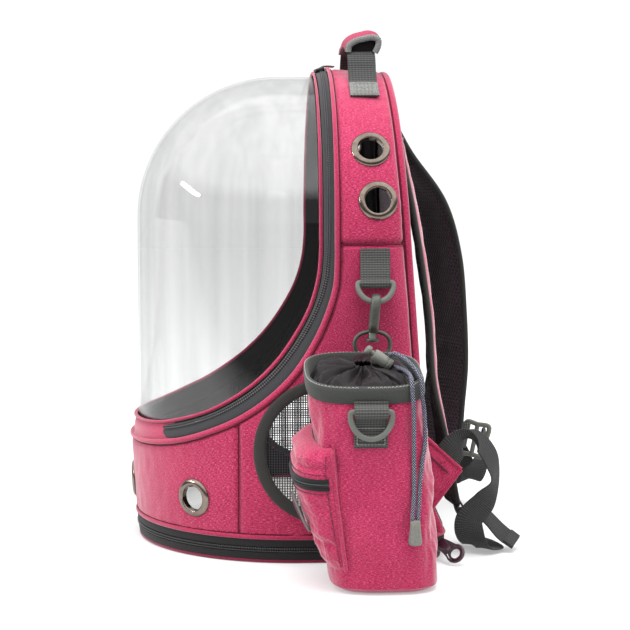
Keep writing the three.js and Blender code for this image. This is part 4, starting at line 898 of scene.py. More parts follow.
# Painted shade: the grip wrap gets a darker copy of the body cloth, with less sheen, against the strong top
# light.
grip_cloth_shaded = material("grip_cloth_shaded", heather((108, 15, 44), (142, 28, 64), (178, 64, 100), 0.1))
piece("handle_grip_wrap", [grid(wrap[:, ::-1], (False, True))], [grip_cloth_shaded], "pink_cloth", "handle_grip")
core_line = wrap_line - CORE_SINK * wrap_up
core_x = CORE_HALF * np.array([-1, -1, 0, 1, 1])[:, None]
core_size = np.array([0, 1, 1, 1, 0])[:, None]
core_y, core_z = (core_line[:, k].mean() + core_size * (core_line[:, k] - core_line[:, k].mean())
                  for k in (0, 1))
core = join(core_x, HANDLE_Y + core_y, grip_top(core_x) + core_z)
piece("handle_grip_core", [grid(core[:, ::-1], (False, True))], [lining], "pink_cloth")
grip_binding = material("pale_binding", web_weave((62, 63, 63), (146, 147, 146), 0.0016))
for tag, sign in SIDES:
    ends = join(sign * GRIP_HALF, HANDLE_Y + wrap_line[:, 0], grip_top(GRIP_HALF) + wrap_line[:, 1])
    piece(f"handle_grip_binding_{tag}", [rod(ends, (1, 0, 0), oval(2.3, 2.8, 14))], [grip_binding],
          "grey_webbing")

# Side tab and ring: a doubled webbing tab let into the panel seam, holding a moulded grey D-ring.
# The pouch's swivel hook hangs in the ring, and its oval loop carries the pouch's back tab.
SIDE_Y, BAR_X, BAR_Z, TAB_R = 79, 156.5, 243, 3.5
HANG = np.array([0.381, 0, -0.925])
HOOK_X, HOOK_TOP, HOOK_LONG, HOOK_LEAN = 162.8, 232, 38, 3.2
LOOP_Y, LOOP_Z, LOOP_WIDE, LOOP_HIGH = 76, 191.6, 15, 11
HOOK_HALF = np.array([[4.8, 206], [5.8, 214], [5.4, 224], [3.6, 230.4]])
HOOK_BARREL = np.array([[0, 9.2], [3.2, 9.2], [3.7, 8.6], [3.7, 3.4], [4.2, 2.8], [5.8, 2.5], [6.1, 1.6],
                        [5.6, 0.2], [4, 0], [0, 0]])
RING_SECTION = oval(2.1, 2.3, 16, 2.6)

matt_plastic = grained((80, 83, 77), (102, 105, 98), 900, (0.42, 0.15), (0.08, 0.35), cloud=60,
                       extra={"Coat Weight": 0.08})
cast_metal = grained((80, 82, 77), (106, 108, 102), 500, (0.4, 0.12), (0.06, 0.4), cloud=80,
                     extra={"Metallic": 0.8})
grey_plastic, hook_metal = material("grey_plastic", matt_plastic), material("hook_metal", cast_metal)


def d_ring(bar, across, down, half_width, drop, section):
    """A straight bar closed by a round bow: the bow's depth follows the sine of its angle."""
    a = np.pi * (0.03 + 0.94 * np.linspace(0, 1, 13))
    flat = [[share * half_width, 0] for share in (-0.96, -0.5, 0, 0.5, 0.96)]
    flat = np.concatenate([flat, join(half_width * np.cos(a), drop * (0.12 + 0.88 * np.sin(a)))])
    across, down = np.asarray(across, float), np.asarray(down, float)
    line = along_curve(np.asarray(bar) + flat[:, :1] * across + flat[:, 1:] * down, np.arange(140) / 140)
    return rod(line, np.cross(across, down), section, loop=True)


around = np.radians([150, 205, 260, 315, 10, 60])
turn = join(BAR_X + TAB_R * np.cos(around), BAR_Z + TAB_R * np.sin(around))
tab_xz = [[151.5, 272], [151.6, 262], [151.8, 253], *turn, [157.2, 251], [154.6, 261], [153.9, 272]]
piece("side_tab_webbing", [strip(smooth(upright(tab_xz, SIDE_Y), 90))], [grey_web], "grey_webbing",
      "side_tab")
piece("side_ring_moulded", [d_ring((BAR_X, SIDE_Y, BAR_Z), (0, 1, 0), HANG, 15, 16.5, RING_SECTION)],
      [grey_plastic], "grey_plastic", "side_d_ring", crease=60)
half = np.concatenate([[[0, 203]], HOOK_HALF, [[0, 232.2]], (HOOK_HALF * (-1, 1))[::-1]])
hook_line = upright(half + (HOOK_X, 0), SIDE_Y)
hook_line[:, 1] -= HOOK_LEAN * (HOOK_TOP - half[:, 1]) / HOOK_LONG
bow = along_curve(hook_line, np.arange(90) / 90)
piece("snap_hook_cast", [rod(bow, (0, 1, 0), oval(3.8, 2.3, 18, 3), loop=True),
                         turned(HOOK_BARREL, (HOOK_X, SIDE_Y - 3, 194), (0, 0, 1), 32)],
      [hook_metal], "grey_plastic", "snap_hook", crease=60)
a = circle(90)
oval_line = join(HOOK_X, LOOP_Y + LOOP_WIDE * squared(np.cos(a), 0.8),
                 LOOP_Z + LOOP_HIGH * squared(np.sin(a), 0.9))
piece("snap_ring_wire", [rod(oval_line, (1, 0, 0), oval(1.8, 1.8, 14), loop=True)], [hook_metal],
      "grey_plastic", "snap_ring", crease=60)

# Treat pouch: a soft bag of heather cloth hung by its back tab, with a bound and stitched rim.
# A satin collar is gathered inside the rim by the drawstring.
POUCH_RIM_Z, RIM_SLOPE, POUCH_POWER, POUCH_WALL = 176, 0.17, 3.2, 2
POUCH_FOOT, POUCH_MIDDLE = (216.5, 80.6), (217, 72)
POUCH_ROWS = np.array([[0, 216.5, 80.6, 41, 39], [0.03, 216.5, 80.2, 46, 44.5], [0.3, 217, 76.2, 47, 46],
                       [0.65, 217.6, 70.4, 48, 46.6], [1.1, 218.1, 61.6, 48.1, 46.6]])


def pouch_point(share, angle, out=0, rise=0, spread=1):
    """A point on the pouch: a rounded square whose middle and size change with the share of its height."""
    share, angle, out, rise, spread = np.broadcast_arrays(share, angle, out, rise, spread)
    cx, cy, hx, hy = (np.interp(share, POUCH_ROWS[:, 0], POUCH_ROWS[:, k]) for k in (1, 2, 3, 4))
    c, s = np.cos(np.radians(angle)), np.sin(np.radians(angle))
    x = (hx + out) * spread * squared(c, 2 / POUCH_POWER)
    y = (hy + out) * spread * squared(s, 2 / POUCH_POWER)
    return join(cx + x, cy + y, share * (POUCH_RIM_Z - RIM_SLOPE * x) + rise)


def fine_cloth(uv):
    """Close plain weave: fine crossing threads, a faint mottling and soft creases."""
    threads = uv.axis(0).wave(0.00042) * uv.axis(1).wave(0.00042)
    mottle, crease = uv.noise(700, 3), uv.noise((45, 28))
    tone = (mottle * 0.6 + crease * 0.4).between(0.3, 0.7)
    return {"Base Color": tone.mix((38, 32, 38), (58, 50, 56)), "Roughness": 0.72 + mottle * 0.15,
            "Sheen Weight": 0.1, "Normal": (threads * 0.3 + mottle * 0.2 + crease * 2.5).bump(0.5, 0.5)}


pouch_lining = material("pouch_lining", fine_cloth)
pouch_cloth = material("pouch_cloth", heather((118, 17, 48), (161, 35, 75), (202, 86, 122)))
angles = np.linspace(0, 360, 240, endpoint=False)
shares = np.concatenate([[0, 0.006, 0.016, 0.03, 0.05], np.linspace(0.08, 0.995, 70)])
share_grid, angle_grid = span_grid(shares, angles)
sink = np.interp(share_grid, [0, 0.006, 0.016, 0.03, 0.05], [-6, -3, -1.4, -0.4, 0])
wall = pouch_point(share_grid, angle_grid, sink)
wide = soft_noise(angle_grid * 1.4, share_grid * POUCH_RIM_Z, 48, 41)
narrow = soft_noise(angle_grid * 1.4 + share_grid * 60, share_grid * POUCH_RIM_Z, 16, 42)
calm = np.clip(share_grid * (1.02 - share_grid) * 6, 0, 1)
outward = normals(wall, (False, True))
outward *= np.sign((outward[..., :2] * (wall[..., :2] - POUCH_MIDDLE)).sum(-1, keepdims=True) + 1e-9)
wall = wall + outward * ((1.4 * wide + 0.45 * narrow) * calm)[..., None]
inside = pouch_point(share_grid, angle_grid, sink - POUCH_WALL)
floors = [np.broadcast_to([*POUCH_FOOT, z], wall[:1].shape) for z in (0.3, 2.4)]
outer = np.concatenate([floors[0], wall])
inner = np.concatenate([floors[1], inside + (0, 0, POUCH_WALL)])
piece("pouch_bag", [grid(outer[::-1], (False, True)), grid(inner, (False, True), 1)],
      [pouch_cloth, pouch_lining], "pink_cloth", "pouch_body")
RIM_SECTION = np.array([[0.93, 0.2], [0.932, 1.4], [0.942, 1.9], [0.965, 2.0], [0.99, 1.9], [1.004, 1.3],
                        [1.011, 0], [1.011, -1.6], [1.0, -2.6], [0.95, -2.6]])
rim = pouch_point(RIM_SECTION[:, 0, None], angles[None], RIM_SECTION[:, 1, None])
piece("pouch_rim_tape", [grid(rim[::-1], (False, True))], [rim_binding], "grey_webbing",
      "pouch_rim_binding")
rim_line = pouch_point(1.008, angles, 0.7)
piece("pouch_rim_stitching", stitch_rows([rim_line], (0, 0, 1), 3.2, r=0.36), [pale_thread],
      "grey_webbing")


def satin_cloth(uv):
    """Thin satin: a soft broad shine that runs along the folds and a faint weave."""
    slub, cloud = uv.noise((90, 2200), 3), uv.noise(60)
    tone = (slub * 0.4 + cloud * 0.6).between(0.3, 0.7)
    return {"Base Color": tone.mix((9, 6, 9), (24, 17, 22)), "Roughness": 0.3 + slub * 0.14,
            "Normal": (slub + cloud * 3).bump(0.12, 0.5), "Sheen Weight": 0.02, "Specular IOR Level": 0.26}


satin = material("plum_satin", satin_cloth)
COLLAR = np.array([[0.975, -17], [0.955, -10], [0.92, -5], [0.82, -1], [0.7, 1], [0.52, 1.6], [0.36, 1.8],
                   [0.24, 2.6], [0.17, 4.4], [0.155, 6]])
run = np.linspace(0, 1, 64)[:, None]
spread, rise = (np.interp(run * (len(COLLAR) - 1), np.arange(len(COLLAR)), column) for column in COLLAR.T)
pleat_angle = angles[None] + 7 * soft_noise(angles[None], run * 30, 40, 51)
large, small = (2 * np.abs(np.sin(np.radians(pleat_angle * k + 40))) - 1.2 for k in (4.5, 12.5))
pleat = large * (1.2 - run) + small * (0.12 + 0.5 * run)
depth = np.interp(run, [0, 0.2, 0.34, 0.6, 0.85, 1], [0.1, 1.3, 4.6, 5.6, 3.0, 1.4])
collar = pouch_point(1, np.broadcast_to(angles, pleat.shape), -3.2, rise + depth * pleat, spread)
slack = np.interp(run, [0, 0.3, 0.6, 1], [0, 1.2, 1.2, 0])
collar[..., 2] += slack * soft_noise(angles[None], run * 40, 34, 52)
piece("pouch_collar_satin", shell(collar[::-1], 0.5, (False, True)), [satin], "satin", "pouch_collar")

# Pouch tabs: a webbing strap behind that hangs in the hook's loop, and a folded tab in front with a D-ring.
# The front ring is free to flip up about its bar.
TAB_Y, TAB_SEWN_X, TAB_SEWN_Z, TAB_LEAN, TAB_HALF, TAB_STITCH_Z = 66, 268.3, 122, 0.02, 11, (124, 137)
RING_BAR, RING_DOWN = (271.6, TAB_Y, 150), np.array([0.05, 0, -0.99875])
back_xz = [[166.6, 146], [166.5, 160], [165.8, 172], [164.9, 178], [162.8, 184], [160.6, 180],
           [161.8, 172], [164.4, 160]]
piece("pouch_back_webbing", [strip(smooth(upright(back_xz, LOOP_Y), 60), 20)], [grey_web], "grey_webbing",
      "pouch_back_tab")
front_xz = [[269.3, 158.5], [269.4, 155.6], [274, 152.8], [275, 150], [274, 147.2], [269.3, 144.5],
            [267.6, 140], [266.9, 121]]
piece("pouch_tab_webbing", [strip(smooth(upright(front_xz, TAB_Y), 80), 27)], [grey_web], "grey_webbing",
      "pouch_tab")


def on_tab(y, z):
    """A point on the front tab where it is sewn flat, leaning a little out as it climbs."""
    return [TAB_SEWN_X + TAB_LEAN * (z - TAB_SEWN_Z), TAB_Y + y, z]


tab_lines = [[on_tab(y, z) for z in TAB_STITCH_Z] for y in (-TAB_HALF, TAB_HALF)]
tab_lines += [[on_tab(y, z) for y in (-TAB_HALF, 0, TAB_HALF)] for z in TAB_STITCH_Z]
piece("pouch_tab_stitching", stitch_rows(tab_lines, (1, 0, 0), 2.8), [pale_thread], "grey_webbing")
piece("pouch_ring_moulded", [d_ring(RING_BAR, (0, 1, 0), RING_DOWN, 16.6, 21, RING_SECTION)],
      [grey_plastic], "grey_plastic", "pouch_d_ring", body="pouch_ring", crease=60)

# Pouch pocket: a full pocket sewn over the front corner, closed by a short zip with a leaf-shaped pull.
# Its side seam is piped in the same cloth.
ZIP_V, POCKET_SWELL, POCKET_WALL = 0.718, 18, 2.4
POCKET_LOW, POCKET_HIGH, POCKET_FROM, POCKET_ROUND = 0.115, 0.595, -32, 112
POCKET_FOLDS = [(1.1, 0.9, 0, 0.03, 0.02), (-2.0, 0.84, 0.03, 0, 0.025), (-1.6, 0.2, 0.1, 0, 0.03),
                (0.8, 0.27, 0.1, 0, 0.04)]
ZIP_ROWS = np.array([[-50, -0.6], [-46, 0.9], [-30, 1.1], [-15, 1.1], [-13, 0.4], [-11, 1.6], [-6, 2.0],
                     [-1.5, 1.2], [1.5, 1.2], [6, 2.0], [11, 1.6], [13, 0.4], [15, 1.1], [30, 1.1],
                     [46, 0.9], [50, -0.6]])
LEAF_HALF, LEAF_THICK, LEAF_BOW = 4.3, 1.1, 1.5


def pocket_point(v, u, out=0):
    """A point on the pocket: the pouch's wall with a swell that falls to nothing at the seams."""
    v, u, out = np.broadcast_arrays(v, u, out)
    u_share, v_share = np.clip(u, 0, 1), np.clip(v, 0, 1)
    full = POCKET_SWELL * np.sin(np.pi * u_share) ** 0.6 * np.sin(np.pi * v_share ** 2.2) ** 0.4
    return pouch_point(POCKET_LOW + POCKET_HIGH * v, POCKET_FROM - POCKET_ROUND * u,
                       POCKET_WALL + full + out)


v, u = span_grid(np.linspace(0, 1, 110), np.linspace(0, 1, 90))
fold = sum(high * np.exp(-((v - at - slope * u - wave * np.sin(5 * u)) / width) ** 2)
           for high, at, slope, wave, width in POCKET_FOLDS)
edge = np.clip(np.minimum(np.minimum(v, 1 - v), np.minimum(u, 1 - u)) * 12, 0, 1)
pucker = 0.8 * soft_noise(u * 110, v * 120, 20, 61) + 0.35 * soft_noise(u * 110, v * 120, 7, 62)
away = np.clip(np.abs(v - ZIP_V) / 0.06 - 1.2, 0, 1)
pocket = pocket_point(v, u, (fold + pucker * away) * edge - 2.2 * (1 - edge))
piece("pouch_pocket_cloth", [grid(pocket)], [pouch_cloth], "pink_cloth", "pouch_pocket")
across = np.linspace(0.035, 0.87, 60)[None]
zip_parts = []
for rows, number in ((ZIP_ROWS[:5], 0), (ZIP_ROWS[4:12], 1), (ZIP_ROWS[11:], 0)):
    rows = pocket_point(ZIP_V + rows[:, :1] / 1000, across, rows[:, 1:])
    zip_parts.append(grid(rows, number=number))
piece("pocket_zip_tape", zip_parts, [base_tape, base_coil], "zip_black", "pocket_zip")
dark_thread = material("dark_thread", thread((84, 26, 44)))
seam_rows = [pocket_point(row, np.linspace(0.06, 0.86, 80), 0.4) for row in (ZIP_V - 0.075, ZIP_V + 0.085)]
seam_rows += [pocket_point(np.linspace(0.04, 0.96, 90), 0.055, 0.2)]
piece("pocket_stitching", stitch_rows(seam_rows, (0.3, -0.95, 0), 3.2, r=0.3), [dark_thread], "pink_cloth")
piping_line = smooth(pocket_point(np.linspace(0, 1, 24), 0.012, -1.2), 90)
piece("pocket_piping_cord", [rod(piping_line, (1, 0, 0), oval(1.5, 1.5, 12))], [pouch_cloth], "pink_cloth")

gloss_plastic = grained((30, 14, 24), (52, 26, 40), 700, (0.2, 0.1), (0.04, 0.3), detail=2, span=(0, 1),
                        extra={"Coat Weight": 0.4})
dark_gloss = material("dark_gloss", gloss_plastic)
start, end = pocket_point(0.6, 0.43, 4.0), pocket_point(0.3, 0.36, 2.2)
t = np.linspace(0, 1, 40)
leaf_line = start + (end - start) * t[:, None] + np.array([0, -LEAF_BOW, 0]) * np.sin(np.pi * t)[:, None]
leaf_half = 0.7 + LEAF_HALF * np.sin(np.pi * np.clip(t, 0.02, 0.98) ** 0.75) ** 0.8
leaf_size = join(leaf_half, LEAF_THICK)
leaf = sweep(leaf_line, (1, 0.25, 0), oval(1, 1, 18, 2.4)[None] * leaf_size[:, None])
leaf_rim = rod(np.concatenate([leaf[:, 0], leaf[::-1, 9]]), (0, -1, 0), oval(0.7, 0.7, 8), loop=True,
               number=1)
piece("pocket_pull_leaf", [grid(leaf, (False, True)), leaf_rim], [dark_gloss, grey_plastic], "zip_black",
      "pocket_zip_pull")

# Drawstring: a spring cord lock on the gathered collar, two braided cord ends and the stopper on them.
# The button is pressed into the barrel to let the cord run.
LOCK = np.array([220, 79, 185.7])
ALONG = unit(np.array([0, 0.82, -0.57]))
LOCK_PROFILE = np.array([[2.8, 4], [2.8, 8.2], [3.2, 8.6], [4.4, 8.6], [5, 8], [5, 5.2], [4.6, 4.9],
                         [4.6, 4.1], [5, 3.8], [5, -7.6], [4.4, -8.5], [3, -8.5], [2.8, -8], [2.8, -4]])
BUTTON_PROFILE = np.array([[0, -7.5], [2.2, -7.5], [2.2, -11.8], [3.6, -11.9], [4, -12.4], [4, -14.6],
                           [3.7, -15.6], [2.6, -16.3], [0, -16.2]])
STOP_PROFILE = np.array([[0, 0.6], [3.2, 0.6], [4, 0], [4.3, -5], [5, -12], [5.5, -16], [5.3, -18],
                         [4.6, -19.4], [0, -20]])
CORD_R = 1.8

pale_plastic = grained((94, 95, 89), (116, 117, 110), 800, (0.4, 0.12), (0.06, 0.4))
lock_plastic = material("lock_plastic", pale_plastic)
piece("cord_lock_barrel_moulded", [turned(LOCK_PROFILE, LOCK, ALONG, 40)], [lock_plastic], "grey_plastic",
      "cord_lock_barrel", crease=50)
piece("cord_lock_button_moulded", [turned(BUTTON_PROFILE, LOCK, ALONG, 32)], [lock_plastic],
      "grey_plastic", "cord_lock_button", body="lock_button", crease=50)


def braid(uv):
    """Flecked braid: two sets of crossing yarns, navy with white picks."""
    u, v = uv.axis(0), uv.axis(1)
    left, right = (u + v * 0.8).wave(0.0017), (u - v * 0.8).wave(0.0017)
    pick = uv.noise((1500, 520), 1).between(0.52, 0.6)
    fleck = (left * right + pick * 0.3).between(0.38, 0.95)
    return {"Base Color": fleck.mix((28, 29, 48), (186, 188, 204)), "Roughness": 0.75 + pick * 0.1,
            "Normal": (left + right).bump(0.25, 0.7)}


cord_braid = material("cord_braid", braid)
CORD_OVER = {
    "a": [[220, 85.3, 189.7], [225, 89.2, 191.2], [233, 95, 188.8], [243, 101, 183.8], [252, 105.3, 178],
          [257.4, 107, 172.4]],
    "b": [[217.8, 88, 180.1], [222.5, 91.4, 179.4], [233, 95, 179.2], [246, 98, 177.6], [257, 98.6, 176],
          [263.8, 98.8, 172.6]]}
CORD_DOWN = {
    "a": [[0.955, 49.3, 4.6], [0.888, 51, 4.4], [0.728, 47.2, 3.4], [0.65, 39.5, 3], [0.53, 32, 3],
          [0.374, 23.6, 5.2]],
    "b": [[0.96, 33, 4.6], [0.904, 32.8, 4.4], [0.74, 29, 3.4], [0.616, 26, 3], [0.492, 23.5, 3],
          [0.376, 17.6, 5.2]]}
ends = []
for tag, over in CORD_OVER.items():
    share, angle, out = np.array(CORD_DOWN[tag]).T
    route = smooth(np.concatenate([over, pouch_point(share, angle, out)]), 180)
    length = distance_along(route)[-1] / 1000
    strand = piece(f"drawstring_{tag}", [rod(route, (0.3, 1, 0.2), oval(CORD_R, CORD_R, 16))],
                   [cord_braid], "cord", f"cord_strand_{tag}")
    ends.append((strand, route, length))
tip = (ends[0][1][-1] + ends[1][1][-1]) / 2 + (0.6, 0, -0.7)
stopper = piece("drawstring_stopper", [turned(STOP_PROFILE, tip, (0, 0, 1), 36)], [lock_plastic],
                "grey_plastic", "cord_end", crease=50)
for strand, route, length in ends:
    route[0] / 1000
    route / 1000

# Shoulder straps: padded, air mesh on the wearer's side and pink cloth outside, with bound grey edges.
# The top ends are sewn into the back panel, the lower ends carry the ladder locks.
STRAP_THICK, PAD_SHARE, STRAP_STEPS = 9, 0.985, 120
STRAP_ROWS = {
    "right": [(48, 107.5, 364, 0, 46), (52, 111, 345, -3, 56), (61, 119.5, 308, -6, 62),
              (67, 127, 262, -6, 62), (75, 134, 206, -6, 60), (81, 137, 152, -5, 56), (86, 146, 96, 2, 46),
              (88, 154, 44, 8, 36)],
    "left": [(-48, 108.6, 384, 0, 46), (-52, 120, 350, 14, 56), (-60, 149, 304, 20, 62),
             (-66, 161.5, 255, 26, 62), (-70, 167.5, 200, 27, 60), (-72, 170, 150, 28, 57),
             (-72, 165, 105, 40, 50), (-70, 160.5, 70, 60, 42)]}
strap_mesh = material("strap_mesh", air_mesh((14, 9, 12), (66, 50, 58), 0.0036))
for side, rows in STRAP_ROWS.items():
    rows = smooth(rows, STRAP_STEPS)
    turn, width = np.radians(rows[:, 3]), rows[:, 4]
    path, across = rows[:, :3], join(np.cos(turn), np.sin(turn), 0)
    facing = unit(np.cross(np.gradient(path, axis=0), across))
    facing *= np.sign(facing[:, 1:2].mean())
    reach = across * width[:, None] / 2
    w = np.linspace(-1, 1, 41)[None]
    plump = (1 - np.abs(w) ** 4) ** 0.6
    dent = 0.5 * soft_noise(np.arange(STRAP_STEPS)[:, None] * 3.0, w * 30, 26, 71)
    faces = []
    for sign, number in ((1, 1), (-1, 0)):
        thick = sign * (0.8 + (STRAP_THICK / 2 - 0.9) * plump + dent * plump)
        flat = path[:, None] + reach[:, None] * (w * PAD_SHARE)[..., None]
        face = flat + facing[:, None] * thick[..., None]
        faces.append(grid(face[:, ::sign], number=number))
    binding = [rod(path + s * reach, facing.mean(0), oval(2.5, 3.4), number=2) for s in (1, -1)]
    for k in (0, -1):
        bar = path[k] + reach[k] * np.linspace(-1, 1, 12)[:, None]
        binding.append(rod(bar, facing[k], oval(2.5, 4.2), number=2))
    piece(f"shoulder_strap_{side}_pad", faces + binding, [strap_mesh, pink_cloth, grey_binding],
                    "air_mesh", f"shoulder_strap_{side}")

# Lower strap ends: pink cloth wings in the back corners, adjusting webbing and plastic ladder locks.
# The webbing is sewn into each wing, threads through its lock, and on the right leaves a free tail.
WING_X, WING_THICK = 140, 3
WING = np.array([[122.4, 110], [155, 80], [129.6, 46]])
a, b = span_grid(np.linspace(0, 1, 30), np.linspace(0, 1, 30))
tri = WING[0] + (WING[1] - WING[0]) * a[..., None] * 0.97 + (WING[2] - WING[1]) * (a * b)[..., None] * 0.97
wing_edge = np.minimum(np.minimum(a * (1 - b), a * b), 1 - a) * 5
puff = WING_THICK / 2 * np.clip(wing_edge, 0.25, 1) ** 0.5
dimple = 0.5 * soft_noise(tri[..., 0], tri[..., 1], 14, 81)
edge_way = unit(WING[1] - WING[0])
inward = np.array([edge_way[1], -edge_way[0]])
tack = [WING[0] + edge_way * run + inward * 9.5 for run in (15, 26, 38)]
for side, sign in SIDES:
    sheets = [join(sign * WING_X + s * puff + dimple, tri[..., 0], tri[..., 1]) for s in (1, -1)]
    hem = [smooth([[sign * WING_X, *WING[i]] for i in pair], 30) for pair in ((0, 1), (1, 2))]
    parts = [grid(sheets[0]), grid(sheets[1][::-1])]
    parts += [rod(line, (1, 0, 0), oval(1.9, 1.9, 12), number=1) for line in hem]
    piece(f"wing_{side}_cloth", parts, [pouch_cloth, pink_piping], "pink_cloth", f"wing_{side}")
    tack_line = [[sign * (WING_X + WING_THICK / 2 + 0.3), *spot] for spot in tack]
    piece(f"wing_{side}_bar_tack", stitch_rows([tack_line], (sign, 0, 0), 1.5, 0.8, 0.75), [dark_thread],
          "pink_cloth")

WEBBING = {
    "webbing_right": [(140, 143.7, 92.4, 0, 0.735, -0.678), (139, 150, 100, -0.3, 0.7, -0.65),
                      (131, 160, 106, -0.9, 0.3, -0.2), (124, 172, 102, -0.85, 0.5, 0.2),
                      (120, 184, 86, -0.8, 0.55, 0.2), (118, 188, 66, -0.9, 0.4, -0.1),
                      (119, 178, 47, -0.4, 0.72, -0.55), (120, 165, 31, -0.1, 0.85, -0.5),
                      (119, 167, 17, 0.25, 0.97, 0), (113, 178, 6, 0.8, 0.6, 0),
                      (103, 186, 3.2, 0.15, 0.99, 0), (93, 183, 4.2, -0.5, 0.87, 0),
                      (88.3, 174, 8, -0.97, 0.25, 0), (88, 163.4, 14.5, -1, 0, 0)],
    "webbing_left": [(-140, 143.7, 92.4, 0, 0.735, -0.678), (-139.5, 151, 99, 0.1, 0.75, -0.65),
                     (-132, 170, 80, 0.5, 0.7, -0.5), (-120, 186, 48, 0.5, 0.8, -0.3),
                     (-104, 195, 27, 0.2, 0.97, 0.1), (-97, 203, 40, -0.2, 0.9, 0.4),
                     (-91, 207.5, 56, -0.5, 0.6, 0.6), (-84.5, 206.7, 66, -0.35, 0.2, 0.9),
                     (-77, 204, 69.7, -0.05, 0.2, 0.98), (-70.2, 201.5, 70, 0, 0.2, 0.98)],
    "webbing_tail_right": [(89, 167.4, 21, 1, 0, 0), (90.5, 171.5, 28, 0.98, -0.1, 0),
                           (94, 178, 33, 0.9, -0.3, -0.25), (97, 185, 28.5, 0.9, -0.3, -0.25),
                           (101, 197, 16, 0.88, -0.35, -0.3), (104.5, 209, 7, 0.9, -0.35, -0.25)]}
for node, rows in WEBBING.items():
    rows = smooth(rows, 150)
    path, lean = rows[:, :3], rows[:, 3:]
    length = distance_along(path)[-1]
    parts = [strip(path, side=lean)]
    if "tail" in node:
        hem_line = path[-1] - unit(path[-1] - path[-6]) * np.array([[9], [5], [1], [-0.5]]) + (0, 0, 1.6)
        parts.append(strip(hem_line, side=lean[-4:]))
    strap = piece(f"{node}_strip", parts, [strap_web_shaded], "grey_webbing", node)
    length / 1000

LADDER_WIDE, LADDER_TALL, LADDER_RAIL = 34, 26, 2
LADDER_AT = {"right": ((88, 163, 20), (1, 0, 0), (0, 0, 1)),
             "left": ((-72, 196.5, 71), (0, 0.2, 0.98), (-0.35, -0.917, 0.187))}
LOCK_TAB = {"right": ((88, 153, 54), (88, 163, 31)), "left": ((-70.5, 168, 76), (-72, 186, 75.5))}


def ladder_lock(middle, across, up):
    """Three bars between two side rails, all rounded."""
    across, up = unit(np.array([across, up], float))
    face = np.cross(across, up)
    x, y = LADDER_WIDE / 2 - LADDER_RAIL, LADDER_TALL / 2 - LADDER_RAIL
    corners = np.array([[-x, -y], [-x, 0], [-x, y], [0, y], [x, y], [x, 0], [x, -y], [0, -y]])
    rail = along_curve(np.array(middle) + corners @ np.stack([across, up]), np.arange(96) / 96)
    bar = middle + across * np.linspace(-x, x, 20)[:, None] + face * 1.0
    return [rod(rail, face, oval(2.2, 2.3, 16, 3), loop=True), rod(bar, face, oval(1.8, 2.2, 16, 3))]


for side, (middle, across, up) in LADDER_AT.items():
    piece(f"ladder_lock_{side}_moulded", ladder_lock(middle, across, up), [grey_plastic], "grey_plastic",
          f"ladder_lock_{side}", crease=60)
    sewn, to = np.array(LOCK_TAB[side], float)
    way, halfway = unit(to - sewn), (sewn + to) / 2
    normal = np.cross(way, across)
    line = smooth([sewn + normal * 1.6, halfway + normal * 2.2, to + normal * 3.2, to + way * 3.6,
                   to - normal * 3.2, halfway - normal * 2.2, sewn - normal * 1.6], 60)
    piece(f"lock_tab_{side}", [strip(line, side=across)], [grey_web], "grey_webbing")

# Zip pulls: two black sliders at the top of the door zip, and the large glossy pull of the base zip.
# Each slider rides on its coil.
SLIDER_X, SLIDER_Y = 9, 40.5
PULL_LOOP = [[0, SLIDER_Y, 426.6], [1, 43, 428.2], [2, 48, 428.8], [2, 53, 428.2], [-1, 53, 428.2],
             [-2, 48, 428.8], [-1, 43, 428.2]]
EYE_AT, EYE_R, EYE_RIM, PULL_FOOT, PULL_ROOT_HALF, PULL_NECK, PULL_NECK_HALF = 19, 4.3, 8.5, -2, 4.5, 14, 7
PULL_ROWS = np.array([[0, 0, 0.5], [0, 0.7, 1.4], [1, -0.9, 1.4], [1, 0, 0.6], [1, 0, -0.6],
                      [1, -0.9, -1.4], [0, 0.7, -1.4], [0, 0, -0.5]])
PULL_ROOT, PULL_TIP = np.array([142.5, 137.8, 16]), np.array([156.5, 149.5, 9])

black_metal = grained((20, 20, 22), (44, 44, 46), 900, (0.32, 0.12), (0.05, 0.4), detail=2, span=(0, 1),
                      extra={"Metallic": 0.3})
bright_metal = grained((128, 128, 124), (168, 168, 163), (2200, 60), (0.26, 0.15), (0.04, 0.4), cloud=120,
                       detail=2, share=0, span=(0, 1), extra={"Metallic": 1.0})
slider_black, slider_metal = material("slider_black", black_metal), material("slider_metal", bright_metal)


def rounded_block(middle, x_way, y_way, size, power=4, number=0):
    """A block with soft edges: a superellipsoid of the given size on two directions."""
    x_way, y_way = unit(np.array([x_way, y_way], float))
    u, v = np.linspace(-np.pi / 2, np.pi / 2, 17)[:, None], circle(32)[None]
    waves = (np.cos(u), np.sin(u), np.cos(v), np.sin(v))
    up_cos, up_sin, round_cos, round_sin = (squared(wave, 2 / power) for wave in waves)
    ball = join(up_cos * round_cos, up_cos * round_sin, up_sin) * np.asarray(size) / 2
    return grid(np.asarray(middle) + ball @ np.stack([x_way, y_way, np.cross(x_way, y_way)]),
                (False, True), number)


